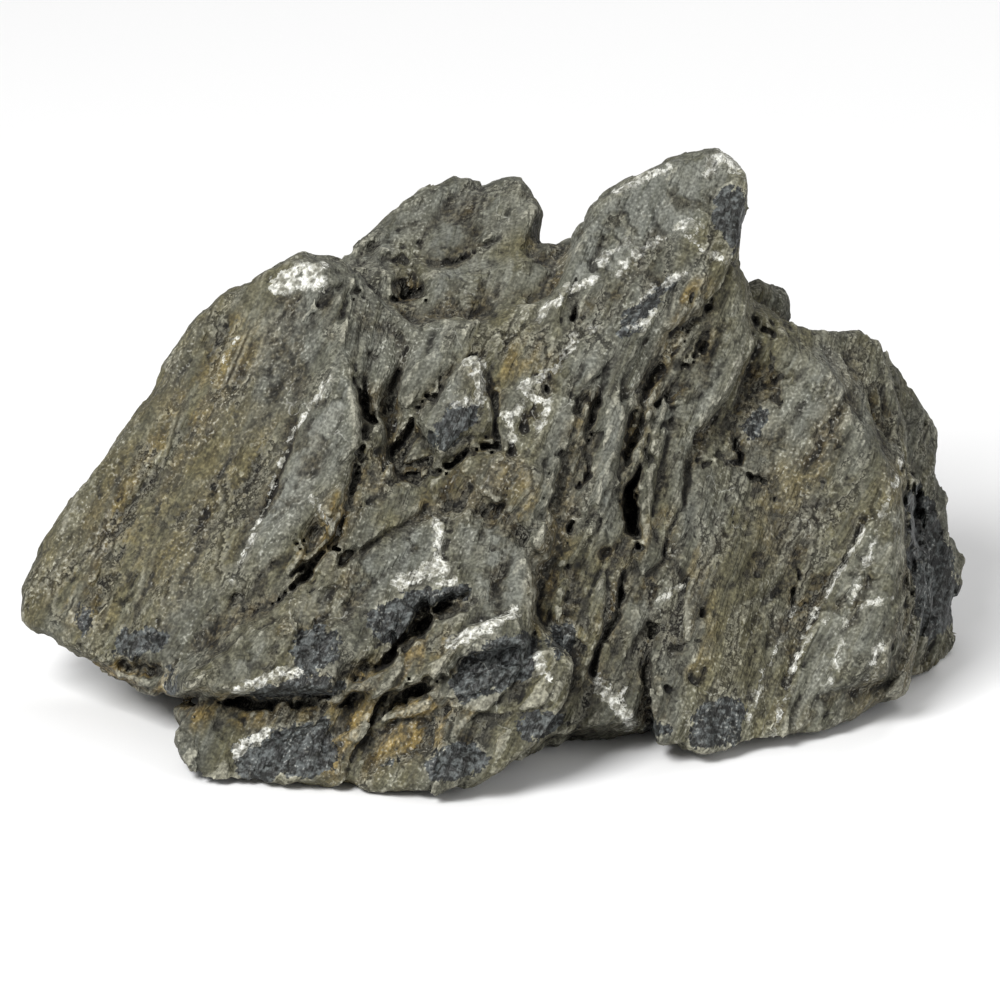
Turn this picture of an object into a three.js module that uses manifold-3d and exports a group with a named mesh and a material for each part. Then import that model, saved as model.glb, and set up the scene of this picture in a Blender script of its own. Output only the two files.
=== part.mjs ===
// A piece of layered slate of the kind set on edge in planted aquariums and rock displays.
// It is one solid stone, about 189 mm wide, with thin beds that stand steeply and lean to the
// left. The broad face that a viewer sees leans back; its sizes are given on that leaning face.
//
// Every point below is [right, up, depth] in millimetres: right and up are measured on the
// leaning face, and depth runs square into the stone from it.
// The stone is worked out as a solid field: slabs of rock are joined, broken up along the beds
// into flakes, grooved and pitted, and set on the ground. Its surface is then taken off the
// field as one closed skin and thinned to flat facets.

import * as THREE from 'three';
import Module from 'manifold-3d';

// Driving sizes

const FACE_LEAN = THREE.MathUtils.degToRad(20);
const CELL = 1.9;
const FACETS = 9300;
const SPACE = { low: [-103, -8, -10], high: [103, 136, 106] };
const STONE_MIDDLE = [-0.8, 60.79];
const FOOT_TRIM = 0.15;
const EDGE_ROUNDING = 1.8;
const SLAB_BLEND = 1.5;
const THINNEST_SLAB = 6;
const WORN_BACK = 0.7;

// Slabs: the masses of rock that the stone is made of. Each has an outline on the leaning face,
// and a front and a back plane, each through three points. Its sides draw in by taper from the
// rim, which lies at that share of its thickness.

const SLABS = [
  {
    name: 'left shield',
    outline: [
      [-94.5, 42], [-90, 51.5], [-80, 65.5], [-68, 81.5], [-65.5, 86.5], [-60.5, 95], [-55.5, 100],
      [-47.5, 104], [-40.5, 108.5], [-35, 107.5], [-29.5, 105], [-30, 96], [-31, 89.5],
      [-28.5, 84.5], [-27, 79], [-27, 73.5], [-26, 70], [-28, 64], [-29.5, 60], [-30.5, 53],
      [-32, 44], [-40, 32], [-52, 22], [-66.5, 20], [-79, 27], [-88, 33], [-93.5, 36],
    ],
    front: [[-50, 30, 17.5], [-94, 40, 48], [-40, 105, 44]],
    back: [[-50, 30, 53], [-94, 40, 62.5], [-40, 105, 73.5]],
    taper: 0.12, rim: 0.35,
  },
  {
    name: 'shield toe',
    outline: [
      [-67, 20.5], [-65.5, 26.5], [-57, 33], [-47.5, 39], [-40, 41], [-40, 32], [-52, 22],
      [-60, 20],
    ],
    front: [[-47.5, 38.5, 16], [-65.5, 24, 21], [-52, 22, 9.5]],
    back: [[-47.5, 38.5, 48], [-65.5, 24, 48], [-52, 22, 48]],
    taper: 0.1, rim: 0.3,
  },
  {
    name: 'valley',
    outline: [
      [-35, 107.5], [-31, 107.5], [-24, 110], [-12, 109], [4, 111], [15, 112], [32, 100], [24, 80],
      [16, 60], [12, 32], [-12, 20], [-40, 32], [-50, 40], [-34, 64], [-31, 84], [-35, 94],
    ],
    front: [[-10, 64, 29], [-30, 102, 49.5], [8, 104, 46.5]],
    back: [[-10, 64, 80], [-30, 102, 80], [8, 104, 80]],
    taper: 0.35, rim: 0.45,
  },
  {
    name: 'shoulder',
    outline: [
      [-35.5, 107.5], [-31, 107], [-28, 106], [-23.5, 99], [-17, 95], [-15, 90], [-19.5, 85.5],
      [-22.5, 80], [-23.5, 74], [-26.5, 71], [-31, 74], [-32.5, 80], [-34, 85.5], [-36.5, 90],
      [-38, 100],
    ],
    front: [[-32, 100, 40], [-27, 76, 29], [-15, 92, 41]],
    back: [[-32, 100, 72], [-27, 76, 64], [-15, 92, 72]],
    taper: 0.15, rim: 0.3,
  },
  {
    name: 'middle plate',
    outline: [
      [-25.5, 101], [-17, 96.5], [-6, 96.5], [5, 99], [9.5, 100], [4, 93], [-4, 87.5],
      [-10.5, 84.5], [-13, 81.5], [-16, 78.5], [-19, 76], [-21, 79.5], [-21, 84], [-19.5, 90],
      [-23, 95.5],
    ],
    front: [[-23, 98, 40], [4, 96, 36.5], [-14, 82, 33]],
    back: [[-23, 98, 72], [4, 96, 64], [-14, 82, 64]],
    taper: 0.2, rim: 0.3,
  },
  {
    name: 'crack floor',
    outline: [
      [-31, 75], [-23, 77], [-20.5, 72], [-19, 66], [-12, 63.5], [-12, 59], [-20, 54.5],
      [-29.5, 49], [-35.5, 50], [-35, 59], [-33.5, 64], [-31.5, 70],
    ],
    front: [[-25.5, 74, 27], [-29.5, 54, 19], [-14, 61, 25]],
    back: [[-25.5, 74, 56], [-29.5, 54, 56], [-14, 61, 56]],
    taper: 0.15, rim: 0.3,
  },
  {
    name: 'back peak',
    outline: [
      [-32.5, 106], [-29.5, 110.5], [-24.5, 115.5], [-19, 121], [-14, 123.5], [-10, 125],
      [-7, 124.5], [-4, 123], [0, 124], [4, 124.5], [5.5, 122], [7, 118.5], [7.5, 112.5], [6, 100],
      [-12, 96], [-28, 100],
    ],
    front: [[-12, 112, 61], [4, 122, 65.5], [-20, 104, 56]],
    back: [[-12, 112, 85], [4, 122, 80], [-20, 104, 89.5]],
    taper: 0.22, rim: 0.35,
  },
  {
    name: 'main fin',
    outline: [
      [-20, 76], [-12, 84], [0, 92], [10, 101.5], [14.5, 111], [17, 114.5], [19, 118.5],
      [25.5, 123], [32.5, 127], [38.5, 129], [43.5, 130], [47, 128], [49, 125], [49.5, 120],
      [48, 113.5], [47.5, 108.5], [40, 100], [30, 91], [20, 80], [11.5, 64], [9, 48], [5.5, 50.5],
      [1, 56], [-6, 62], [-12, 66],
    ],
    front: [[40, 126, 48], [12, 60, 19], [0, 90, 33.5]],
    back: [[40, 126, 65.5], [12, 60, 53], [0, 90, 64]],
    taper: 0.15, rim: 0.45,
  },
  {
    name: 'fin block',
    outline: [
      [47.5, 110], [49.5, 103], [51, 92], [48, 80], [41, 72], [39, 54], [35, 40], [33.5, 28],
      [30, 13], [20, 11.5], [12, 11.5], [5.5, 13], [1, 20], [2, 36], [4, 48], [6, 64], [14, 80],
      [25, 93], [38, 102],
    ],
    front: [[20, 80, 29.5], [20, 32, 20], [38, 60, 31]],
    back: [[48, 100, 64], [30, 60, 64], [18, 18, 64]],
    taper: 0.2, rim: 0.45,
  },
  {
    name: 'saddle',
    outline: [
      [-17, 66], [-6, 70], [7, 66], [9, 51], [6, 46], [-6, 51], [-16, 54],
    ],
    front: [[-10, 64, 25], [7, 60, 20], [-4, 53, 23]],
    back: [[-10, 64, 56], [7, 60, 56], [-4, 53, 56]],
    taper: 0.1, rim: 0.3,
  },
  {
    name: 'upper flake',
    outline: [
      [-64, 21], [-65, 25.5], [-60, 29], [-50, 35.5], [-40, 42], [-31, 49], [-20, 55], [-12, 59],
      [-2, 57.5], [5, 52.5], [6.5, 42], [5, 32], [-6, 30], [-20, 23.5], [-30, 22], [-53.5, 20.5],
    ],
    front: [[-40, 32, 9.5], [0, 48, 16], [-31, 48, 19]],
    back: [[-40, 32, 40], [-4, 52, 40], [-31, 48, 48]],
    taper: 0.15, rim: 0.45,
  },
  {
    name: 'lower lobe',
    outline: [
      [-66.5, 19.5], [-54, 22], [-30, 24], [-16, 30], [0, 38], [7, 36], [14, 28], [12, 19],
      [6, 12], [0, 7.5], [-6, 4], [-14, 1.5], [-23, 1], [-31, 3], [-40, 4], [-48, 3], [-53, 3],
      [-58, 5], [-61, 9],
    ],
    front: [[-23, 1, 1], [-60, 12, 14.5], [0, 28, 9.5]],
    back: [[-23, 1, 48], [-60, 12, 48], [0, 28, 48]],
    taper: 0.1, rim: 0.45,
  },
  {
    name: 'right mass',
    outline: [
      [33.5, 60], [38, 74], [46, 94], [51.5, 97], [59, 94], [66, 93], [73, 94], [77, 92],
      [80, 83.5], [81.5, 76], [82, 64], [83.5, 48], [82, 36], [77, 23.5], [70.5, 17], [60, 12],
      [54.5, 9.5], [48.5, 9], [40.5, 10], [31, 11.5], [28, 30], [29.5, 40], [31, 52],
    ],
    front: [[54, 10, 25], [38, 60, 33], [78, 40, 46.5]],
    back: [[54, 10, 72], [60, 80, 83], [78, 40, 80]],
    taper: 0.06, rim: 0.3,
  },
  {
    name: 'right back',
    outline: [
      [60, 93], [73, 94], [81, 84], [84, 80], [87, 73.5], [88, 64.5], [91, 57.5], [91.5, 53],
      [95, 48], [95, 43], [92.5, 37], [93, 32], [90, 25], [83, 19], [72.5, 17.5], [60, 22],
      [56, 60],
    ],
    front: [[88, 48, 78.5], [80, 24, 65.5], [72, 88, 73.5]],
    back: [[88, 48, 89.5], [80, 24, 91], [72, 88, 81.5]],
    taper: 0.25, rim: 0.45,
  },
  {
    name: 'knob',
    outline: [
      [49, 101], [50, 103], [52.5, 104], [55, 103.5], [57, 102], [58.5, 100], [58.5, 97.5],
      [57.5, 95], [59.5, 92.5], [60, 80], [48, 80], [47, 94],
    ],
    front: [[54, 100, 67], [58, 96, 70.5], [52, 92, 65.5]],
    back: [[54, 100, 78.5], [58, 96, 78.5], [52, 92, 80]],
    taper: 0.3, rim: 0.45,
  },
  {
    name: 'core',
    outline: [
      [-74, 40], [-62, 80], [-34, 100], [-10, 115], [4, 111], [20, 112], [40, 118], [47, 103],
      [70, 86], [83, 64], [85, 40], [80, 22], [54, 13], [28, 13], [4, 13], [-40, 13], [-62, 22],
    ],
    front: [[0, 60, 48], [-40, 60, 53], [0, 100, 56]],
    back: [[0, 60, 77], [-60, 60, 69], [0, 110, 73.5]],
    taper: 0.35, rim: 0.3,
  },
  {
    name: 'back low',
    outline: [
      [-50, 14], [-40, 40], [-24, 60], [-6, 74], [12, 70], [28, 56], [52, 48], [64, 32], [70, 13],
    ],
    front: [[0, 60, 64], [-40, 60, 64], [0, 100, 64]],
    back: [[0, 20, 93], [-50, 20, 78.5], [0, 70, 85]],
    taper: 0.5, rim: 0.2,
  },
  {
    name: 'back rib',
    outline: [
      [-6, 13], [0, 40], [12, 74], [24, 96], [36, 102], [44, 92], [40, 68], [30, 40], [28, 13],
    ],
    front: [[0, 60, 64], [-40, 60, 64], [0, 100, 64]],
    back: [[20, 20, 97.5], [0, 20, 89.5], [28, 96, 80]],
    taper: 0.25, rim: 0.2,
  },
  {
    name: 'back slip',
    outline: [
      [-70, 22], [-60, 48], [-48, 70], [-34, 84], [-20, 88], [-14, 76], [-20, 56], [-28, 36],
      [-34, 13],
    ],
    front: [[-40, 60, 56], [-60, 60, 56], [-40, 100, 56]],
    back: [[-40, 20, 78.5], [-64, 30, 70.5], [-24, 84, 75]],
    taper: 0.3, rim: 0.2,
  },
  {
    name: 'back foot',
    outline: [
      [36, 13], [40, 40], [52, 64], [66, 74], [78, 64], [86, 48], [88, 32], [80, 13],
    ],
    front: [[60, 60, 64], [40, 60, 64], [60, 40, 64]],
    back: [[60, 20, 93], [86, 40, 89.5], [60, 70, 83]],
    taper: 0.3, rim: 0.2,
  },
];

// Flakes that stand proud of the face by height, with an edge that wide.

const RAISED_FLAKES = [
  {
    name: 'middle flake', height: 2.4, edge: 0.9,
    outline: [
      [-21, 66], [-17.5, 72], [-13.5, 78.5], [-11, 83], [-7.5, 88], [-4.5, 89], [-2.5, 85.5],
      [-1.5, 80], [-1, 76], [-2.5, 72.5], [-7.5, 72], [-10.5, 69.5], [-15, 67.5],
    ],
  },
  {
    name: 'low plate', height: 2, edge: 1,
    outline: [
      [10.5, 36.5], [12, 40], [16, 40], [21, 47.5], [22, 40], [21, 32], [18, 29], [15, 32],
      [12, 30],
    ],
  },
  {
    name: 'low flake', height: 3, edge: 1,
    outline: [
      [-15, 22.5], [-11, 29.5], [-6, 35.5], [3, 38.5], [6, 32], [5, 26.5], [-4, 21.5], [-12, 20],
    ],
  },
  {
    name: 'lobe belly', height: 2, edge: 4,
    outline: [
      [-30, 6], [-20, 12], [-10, 14], [0, 11], [-4, 5], [-14, 1], [-23, 0], [-30, 2],
    ],
  },
];

// Cracks and grooves that follow the beds. Each point is
// [right, up, reach on the right hand, reach on the left hand, depth].

const GROOVES = [
  {
    name: 'shield crack',
    line: [
      [-30, 87, 0.6, 1, 0.6], [-29, 84.5, 1, 2, 4.5], [-28, 80, 1, 2.8, 6], [-27, 75, 1, 2.2, 5.5],
      [-27, 70, 1, 1.8, 5], [-28.5, 65.5, 1, 1.6, 4.5], [-29.5, 62.5, 1, 1.2, 2],
      [-30, 58, 0.8, 1.2, 2], [-31.5, 53.5, 1.2, 2.2, 5.5], [-34, 49, 2.4, 2.4, 9],
      [-39, 44.5, 1.8, 1.8, 8], [-43, 40.5, 1, 1.2, 5], [-48.5, 36.5, 0.6, 0.8, 2],
      [-52, 33.5, 0.6, 0.6, 0.6],
    ],
  },
  {
    name: 'slit',
    line: [
      [-11, 85, 1, 1.2, 2], [-13, 82, 1.4, 1.8, 4], [-16, 78, 1.4, 1.8, 4.5],
      [-19, 74, 1.2, 1.6, 4], [-21.5, 70.5, 1.2, 1.4, 2.5], [-23, 68, 0.8, 1, 1],
    ],
  },
  {
    name: 'under flake',
    line: [
      [-0.5, 75, 1, 0.8, 2], [-1.5, 71.5, 1, 1.4, 5], [-7, 69.5, 1.2, 1.6, 7],
      [-11, 67, 1, 1.4, 6], [-15, 65.5, 1, 1, 4], [-19, 64, 0.8, 0.8, 2.5], [-23, 63, 0.6, 0.8, 1],
    ],
  },
  {
    name: 'first groove, deepest part',
    line: [
      [19, 82.5, 0.6, 1, 2], [18, 79.5, 0.8, 1.4, 6], [17.5, 76, 0.8, 1.6, 7],
      [16, 72, 0.6, 1, 2.5], [17, 67.5, 0.8, 1.6, 4], [15.5, 63, 0.8, 1.6, 4],
      [13, 60.5, 0.6, 0.8, 1.5],
    ],
  },
  {
    name: 'first groove, foot',
    line: [
      [11, 56, 0.4, 0.8, 2], [10, 50.5, 0.6, 0.8, 2.5], [8.5, 47, 0.6, 1, 3], [7, 41, 0.6, 1.4, 5],
      [6.5, 35.5, 0.8, 1.8, 6], [6.5, 32, 0.8, 1.2, 3],
    ],
  },
  {
    name: 'second groove',
    line: [
      [41, 92.5, 0.8, 1.2, 2], [39, 89, 1.2, 1.4, 6], [37, 86.5, 0.8, 1, 2],
    ],
  },
  {
    name: 'hollow',
    line: [
      [29, 67.5, 1, 0.8, 3], [27, 63.5, 2.4, 1.6, 12], [26, 59, 2.4, 2.8, 14],
      [26, 55, 2.2, 2.8, 14], [27.5, 52, 1.6, 1.6, 7],
    ],
  },
  {
    name: 'lower hollow',
    line: [
      [16, 57.5, 1.2, 1, 3], [14, 54, 2, 1.6, 8], [13, 50.5, 1.6, 1.6, 5],
    ],
  },
  {
    name: 'fourth groove',
    line: [
      [25.5, 45.5, 0.8, 1, 2], [24.5, 41, 0.8, 1.2, 4.5], [22.5, 36, 0.8, 1, 3],
      [20.5, 31, 0.8, 1, 2], [19, 26.5, 1.6, 2, 5], [20, 23.5, 1, 1, 2],
    ],
  },
  {
    name: 'crevice',
    line: [
      [-61, 17, 0.8, 1.2, 2], [-57, 20.5, 0.8, 3.2, 4], [-52, 19.5, 0.6, 4, 4.5],
      [-42, 19.5, 0.6, 4.4, 4.5], [-33, 20.5, 0.6, 4.4, 5.5], [-29, 23, 0.6, 5.2, 6],
      [-23, 27, 0.6, 4.4, 6], [-18, 32, 0.6, 6, 7], [-12, 37, 0.6, 5.6, 7],
      [-5, 39, 0.6, 2.8, 2.5],
    ],
  },
  {
    name: 'crevice line',
    line: [
      [-60, 19, 0.4, 0.8, 2], [-55.5, 21.5, 0.6, 0.8, 5], [-50, 20.5, 0.6, 0.8, 5.5],
      [-40, 20.5, 0.6, 0.8, 5.5], [-31, 22.5, 0.6, 1, 6], [-25.5, 26.5, 0.6, 1.2, 7],
      [-20.5, 31, 0.8, 1.6, 10], [-17, 35.5, 0.8, 2.8, 11], [-12, 39.5, 0.8, 2.4, 10],
      [-6.5, 41, 0.6, 1.2, 3],
    ],
  },
  {
    name: 'lower crevice',
    line: [
      [-21.5, 20, 0.6, 1.2, 2], [-18.5, 23, 1.2, 2, 6], [-14.5, 23.5, 1, 2, 6],
      [-11, 25, 0.6, 1.2, 2],
    ],
  },
  {
    name: 'right crack',
    line: [
      [47, 75, 0.8, 0.8, 2], [46.5, 71, 0.8, 1, 5], [47, 67.5, 1, 1.2, 5], [50.5, 65, 0.8, 1, 3],
      [54.5, 62, 0.8, 1, 2],
    ],
  },
  {
    name: 'far hollow',
    line: [
      [82, 66, 1.6, 0.6, 3], [84, 60.5, 2.8, 1, 8], [84.5, 54, 3.2, 1, 9], [83, 47.5, 1.8, 0.8, 4],
      [81, 38, 1.4, 0.8, 2.5], [78.5, 29, 1.2, 0.8, 2],
    ],
  },
  {
    name: 'right slit',
    line: [
      [58, 45.5, 0.8, 1, 2], [59, 42, 1, 1, 5], [60, 39, 0.6, 0.6, 2],
    ],
  },
  {
    name: 'under knob',
    line: [
      [51, 95, 2, 2, 5], [54, 93.5, 2, 1.6, 5], [57, 94.5, 1.2, 1.2, 3],
    ],
  },
];

// Pits: [right, up, half width, half height, turn in degrees, depth].

const PITS = [
  [-18.5, 103.5, 6.4, 4.2, 0, 6.5],
  [-21, 107, 4, 3, -30, 4],
  [15, 97, 1.6, 3.6, 8, 4.5],
  [-36.5, 53, 4.4, 5.2, 30, 4.5],
  [-72, 26.5, 6.8, 3.2, 10, 5],
  [8, 38, 2.4, 4, 20, 4],
];

// The share of a groove's reach, and of a pit's radius, that is its flat floor; how many times its
// reach a groove may go deep; the least depth that is cut; how far the rims wander.

const GROOVE_FLOOR = 0.15;
const PIT_FLOOR = 0.3;
const STEEPEST_GROOVE = 3;
const SHALLOWEST_CUT = 0.05;
const RIM_WANDER = 1.1;

// The beds: the direction square to them, and the direction in which they run up the face.

const BED_NORMAL = new THREE.Vector3(-0.80, 0.46, -0.38).normalize();
const BED_RUN = new THREE.Vector3(0.5, 0.866, 0).projectOnPlane(BED_NORMAL).normalize();
const BED_DIP = new THREE.Vector3().crossVectors(BED_NORMAL, BED_RUN);

// Calm areas, where little of the large flakes' height is left: that share, inside an outline.

const CALM_AREAS = [
  {
    name: 'knob', left: 0.05,
    outline: [
      [45.5, 106.5], [53, 108.5], [62.5, 106], [63, 94], [58, 91], [47, 91],
    ],
  },
  {
    name: 'shield', left: 0.3,
    outline: [
      [-98, 40], [-94, 53], [-70, 84], [-62, 100], [-47.5, 107.5], [-40.5, 112], [-32, 110],
      [-31, 90], [-31, 56], [-47.5, 36], [-66, 22], [-90, 30],
    ],
  },
  {
    name: 'fin', left: 0.12,
    outline: [
      [12, 111], [15, 122], [24, 127.5], [38, 132.5], [46, 133.5], [53, 128], [51, 112],
      [44.5, 104], [33, 95.5], [22.5, 89.5], [15, 80], [10, 64], [-12, 56], [-12, 64], [0, 92],
    ],
  },
  {
    name: 'peak', left: 0.4,
    outline: [
      [-35, 106.5], [-31, 113.5], [-19, 124.5], [-10, 128], [6, 127.5], [11, 112.5], [12, 104],
      [-6, 96], [-28, 92], [-31, 100],
    ],
  },
  {
    name: 'right', left: 0.4,
    outline: [
      [40, 68], [47, 80], [52, 92], [60, 96], [76, 96.5], [83, 86], [90, 72], [86, 56], [85, 36],
      [70, 14], [54, 8], [38, 12], [36, 48],
    ],
  },
  {
    name: 'tongue', left: 0.5,
    outline: [
      [-64, 22], [-47.5, 36], [-31, 48], [-12, 59], [4, 54], [6, 40], [-6, 32], [-30, 22],
      [-53.5, 20.5],
    ],
  },
];
const CALM_EDGE = 4;

// Broken flakes of the beds: length along the run, width down the dip, thickness, how far they
// stand in or out, and a number that sets their places.

const FLAKE_SIZES = [
  { run: 46, dip: 26, bed: 13, height: 1.5, seed: 11 },
  { run: 22, dip: 13, bed: 5.5, height: 0.75, seed: 23 },
];
const FLAKE_TILT = 0.6;
const FLAKE_SCATTER = 0.7;
const FLAKE_BAND = 3.2;
const SWELL = { size: 48, height: 0.9, seed: 8 };
const BED_WANDER = { size: 60, height: 3, seeds: [5, 6, 7] };

// The underside: how far its hollows rise from the ground.

const UNDERSIDE = { middle: 1.2, broad: 1.6, fine: 1.3, highest: 3 };
const underside = (x, y) => {
  const broad = Math.sin(x / 17 + 1) * Math.cos(y / 13);
  const fine = Math.sin(x / 9 + y / 11);
  const rise = UNDERSIDE.middle + UNDERSIDE.broad * broad + UNDERSIDE.fine * fine;
  return THREE.MathUtils.clamp(rise, 0, UNDERSIDE.highest);
};

// Small sums

const smoothMax = (a, b, k) => {
  const h = THREE.MathUtils.clamp(0.5 + 0.5 * (a - b) / k, 0, 1);
  return b + (a - b) * h + k * h * (1 - h);
};
const smoothMin = (a, b, k) => -smoothMax(-a, -b, k);
const smoothStep = (from, to, x) => THREE.MathUtils.smoothstep(x, from, to);
const toGround = ([right, up, depth]) => [
  right,
  up * Math.sin(FACE_LEAN) + depth * Math.cos(FACE_LEAN),
  up * Math.cos(FACE_LEAN) - depth * Math.sin(FACE_LEAN),
];

// A repeatable number from 0 to 1 for a whole-number place.

function chance(i, j, k, seed) {
  let x = Math.imul(i, 73856093) ^ Math.imul(j, 19349663);
  x ^= Math.imul(k, 83492791) ^ Math.imul(seed, 2654435);
  x = Math.imul(x ^ (x >>> 15), 2246822519);
  x = Math.imul(x ^ (x >>> 13), 3266489917);
  return ((x ^ (x >>> 16)) >>> 0) / 4294967296;
}

// Swell: six sine waves in scattered directions.

function swellWaves(size, seed) {
  const waves = [];
  for (let n = 0; n < 6; n++) {
    const around = 2 * Math.PI * chance(n, n, n, seed);
    const down = Math.acos(2 * chance(n, n, n, seed + 1) - 1);
    const rate = 2 * Math.PI / size * (0.7 + 0.9 * chance(n, n, n, seed + 2));
    waves.push({
      x: rate * Math.sin(down) * Math.cos(around),
      y: rate * Math.sin(down) * Math.sin(around),
      z: rate * Math.cos(down),
      start: 2 * Math.PI * chance(n, n, n, seed + 3),
    });
  }
  return (x, y, z) => {
    const heights = waves.map((w) => Math.sin(w.x * x + w.y * y + w.z * z + w.start));
    return heights.reduce((sum, height) => sum + height, 0) / 3;
  };
}

// Flakes: each place belongs to the nearest flake centre, and each flake has its own step and tilt.

function flakeHeight(x, y, z, seed) {
  const [i0, j0, k0] = [Math.floor(x), Math.floor(y), Math.floor(z)];
  let nearest = Infinity;
  let height = 0;
  for (let i = i0 - 1; i <= i0 + 1; i++) {
    for (let j = j0 - 1; j <= j0 + 1; j++) {
      for (let k = k0 - 1; k <= k0 + 1; k++) {
        const [a, b, c] = [0, 1, 2].map((n) => chance(i, j, k, seed + n));
        const dx = x - i - 0.5 - FLAKE_SCATTER * (a - 0.5);
        const dy = y - j - 0.5 - FLAKE_SCATTER * (b - 0.5);
        const dz = z - k - 0.5 - FLAKE_SCATTER * (c - 0.5);
        const far = dx * dx + dy * dy + dz * dz;
        if (far < nearest) {
          nearest = far;
          height = 2 * chance(i, j, k, seed + 3) - 1
            + FLAKE_TILT * ((2 * b - 1) * dx + (2 * c - 1) * dy + (2 * a - 1) * dz);
        }
      }
    }
  }
  return height;
}

const swell = swellWaves(SWELL.size, SWELL.seed);
const wander = BED_WANDER.seeds.map((seed) => swellWaves(BED_WANDER.size, seed));

function roughness(x, y, z, calm) {
  const [wx, wy, wz] = wander.map((wave) => BED_WANDER.height * wave(x, y, z));
  const p = new THREE.Vector3(x + wx, y + wy, z + wz);
  const [run, dip, across] = [p.dot(BED_RUN), p.dot(BED_DIP), p.dot(BED_NORMAL)];
  let out = SWELL.height * swell(x, y, z);
  FLAKE_SIZES.forEach((f, n) => {
    const left = n === 0 ? calm : Math.sqrt(calm);
    out += left * f.height * flakeHeight(run / f.run, dip / f.dip, across / f.bed, f.seed);
  });
  return out;
}

// Distance to a closed outline on the face, negative inside it.

function outlineDistance(outline, x, y) {
  let nearest = Infinity;
  let inside = false;
  outline.forEach(([ax, ay], n) => {
    const [bx, by] = outline[(n + 1) % outline.length];
    const [ex, ey] = [bx - ax, by - ay];
    const t = THREE.MathUtils.clamp(((x - ax) * ex + (y - ay) * ey) / (ex * ex + ey * ey), 0, 1);
    nearest = Math.min(nearest, Math.hypot(x - ax - t * ex, y - ay - t * ey));
    if ((ay > y) !== (by > y) && x < ax + (y - ay) * ex / ey) inside = !inside;
  });
  return inside ? -nearest : nearest;
}

// The depth plane through three points, as depth = level + slopeX right + slopeY up.

function depthPlane([a, b, c]) {
  const first = new THREE.Vector3(...a);
  const normal = new THREE.Vector3(...b).sub(first).cross(new THREE.Vector3(...c).sub(first));
  const slopeX = -normal.x / normal.z;
  const slopeY = -normal.y / normal.z;
  return { level: a[2] - slopeX * a[0] - slopeY * a[1], slopeX, slopeY };
}

// Depth of a groove at a point of the face: full along its line, none at its reach.

function grooveDepth(line, x, y) {
  let deepest = 0;
  for (let n = 0; n + 1 < line.length; n++) {
    const [ax, ay, rightA, leftA, depthA] = line[n];
    const [bx, by, rightB, leftB, depthB] = line[n + 1];
    const [ex, ey] = [bx - ax, by - ay];
    const t = THREE.MathUtils.clamp(((x - ax) * ex + (y - ay) * ey) / (ex * ex + ey * ey), 0, 1);
    const [dx, dy] = [x - ax - t * ex, y - ay - t * ey];
    const depth = depthA + t * (depthB - depthA);
    const onLeft = ex * dy - ey * dx > 0;
    const given = onLeft ? leftA + t * (leftB - leftA) : rightA + t * (rightB - rightA);
    const reach = Math.max(given, CELL, depth / STEEPEST_GROOVE);
    deepest = Math.max(deepest, depth * (1 - smoothStep(GROOVE_FLOOR, 1, Math.hypot(dx, dy) / reach)));
  }
  return deepest;
}

function pitDepth([cx, cy, halfWidth, halfHeight, turn, depth], x, y) {
  const angle = THREE.MathUtils.degToRad(turn);
  const a = ((x - cx) * Math.cos(angle) - (y - cy) * Math.sin(angle)) / halfWidth;
  const b = ((x - cx) * Math.sin(angle) + (y - cy) * Math.cos(angle)) / halfHeight;
  return depth * (1 - smoothStep(PIT_FLOOR, 1, Math.hypot(a, b)));
}

// The field on a grid of cells: negative in the stone, positive outside it.

const FAR_OUTSIDE = 99;

function makeGrid() {
  const count = SPACE.low.map((low, axis) => Math.ceil((SPACE.high[axis] - low) / CELL) + 1);
  const step = [count[1] * count[2], count[2], 1];
  return { count, step, size: count[0] * count[1] * count[2] };
}

// Steepness of a face map, from the differences between neighbours.

function steepness(map, nx, ny) {
  const at = (i, j) => map[THREE.MathUtils.clamp(i, 0, nx - 1) * ny + THREE.MathUtils.clamp(j, 0, ny - 1)];
  const out = new Float64Array(nx * ny);
  for (let i = 0; i < nx; i++) {
    for (let j = 0; j < ny; j++) {
      const slopeX = (at(i + 1, j) - at(i - 1, j)) / (2 * CELL);
      const slopeY = (at(i, j + 1) - at(i, j - 1)) / (2 * CELL);
      out[i * ny + j] = Math.hypot(1, slopeX, slopeY);
    }
  }
  return out;
}

function faceMap(nx, ny, height) {
  const map = new Float64Array(nx * ny);
  for (let i = 0; i < nx; i++) {
    for (let j = 0; j < ny; j++) {
      map[i * ny + j] = height(SPACE.low[0] + i * CELL, SPACE.low[1] + j * CELL);
    }
  }
  return map;
}

function addSlab(field, grid, slab, raised) {
  const [nx, ny, nz] = grid.count;
  const front = depthPlane(slab.front);
  const back = depthPlane(slab.back);
  const edge = faceMap(nx, ny, (x, y) => outlineDistance(slab.outline, x, y));
  const frontMap = faceMap(nx, ny, (x, y) => front.level + front.slopeX * x + front.slopeY * y);
  frontMap.forEach((depth, n) => { frontMap[n] = depth - raised[n]; });
  const steep = steepness(frontMap, nx, ny);
  const backSteep = Math.hypot(1, back.slopeX, back.slopeY);
  for (let i = 0; i < nx; i++) {
    for (let j = 0; j < ny; j++) {
      const n = i * ny + j;
      const [x, y] = [SPACE.low[0] + i * CELL, SPACE.low[1] + j * CELL];
      const near = frontMap[n];
      const far = Math.max(back.level + back.slopeX * x + back.slopeY * y, near + THINNEST_SLAB);
      const rim = near + (far - near) * slab.rim;
      for (let k = 0; k < nz; k++) {
        const depth = SPACE.low[2] + k * CELL;
        const ends = smoothMax((near - depth) / steep[n], (depth - far) / backSteep, EDGE_ROUNDING);
        const side = (edge[n] - WORN_BACK + slab.taper * Math.abs(depth - rim)) / Math.hypot(1, slab.taper);
        const value = smoothMax(ends, side, EDGE_ROUNDING);
        field[n * nz + k] = smoothMin(field[n * nz + k], value, SLAB_BLEND);
      }
    }
  }
}

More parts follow.
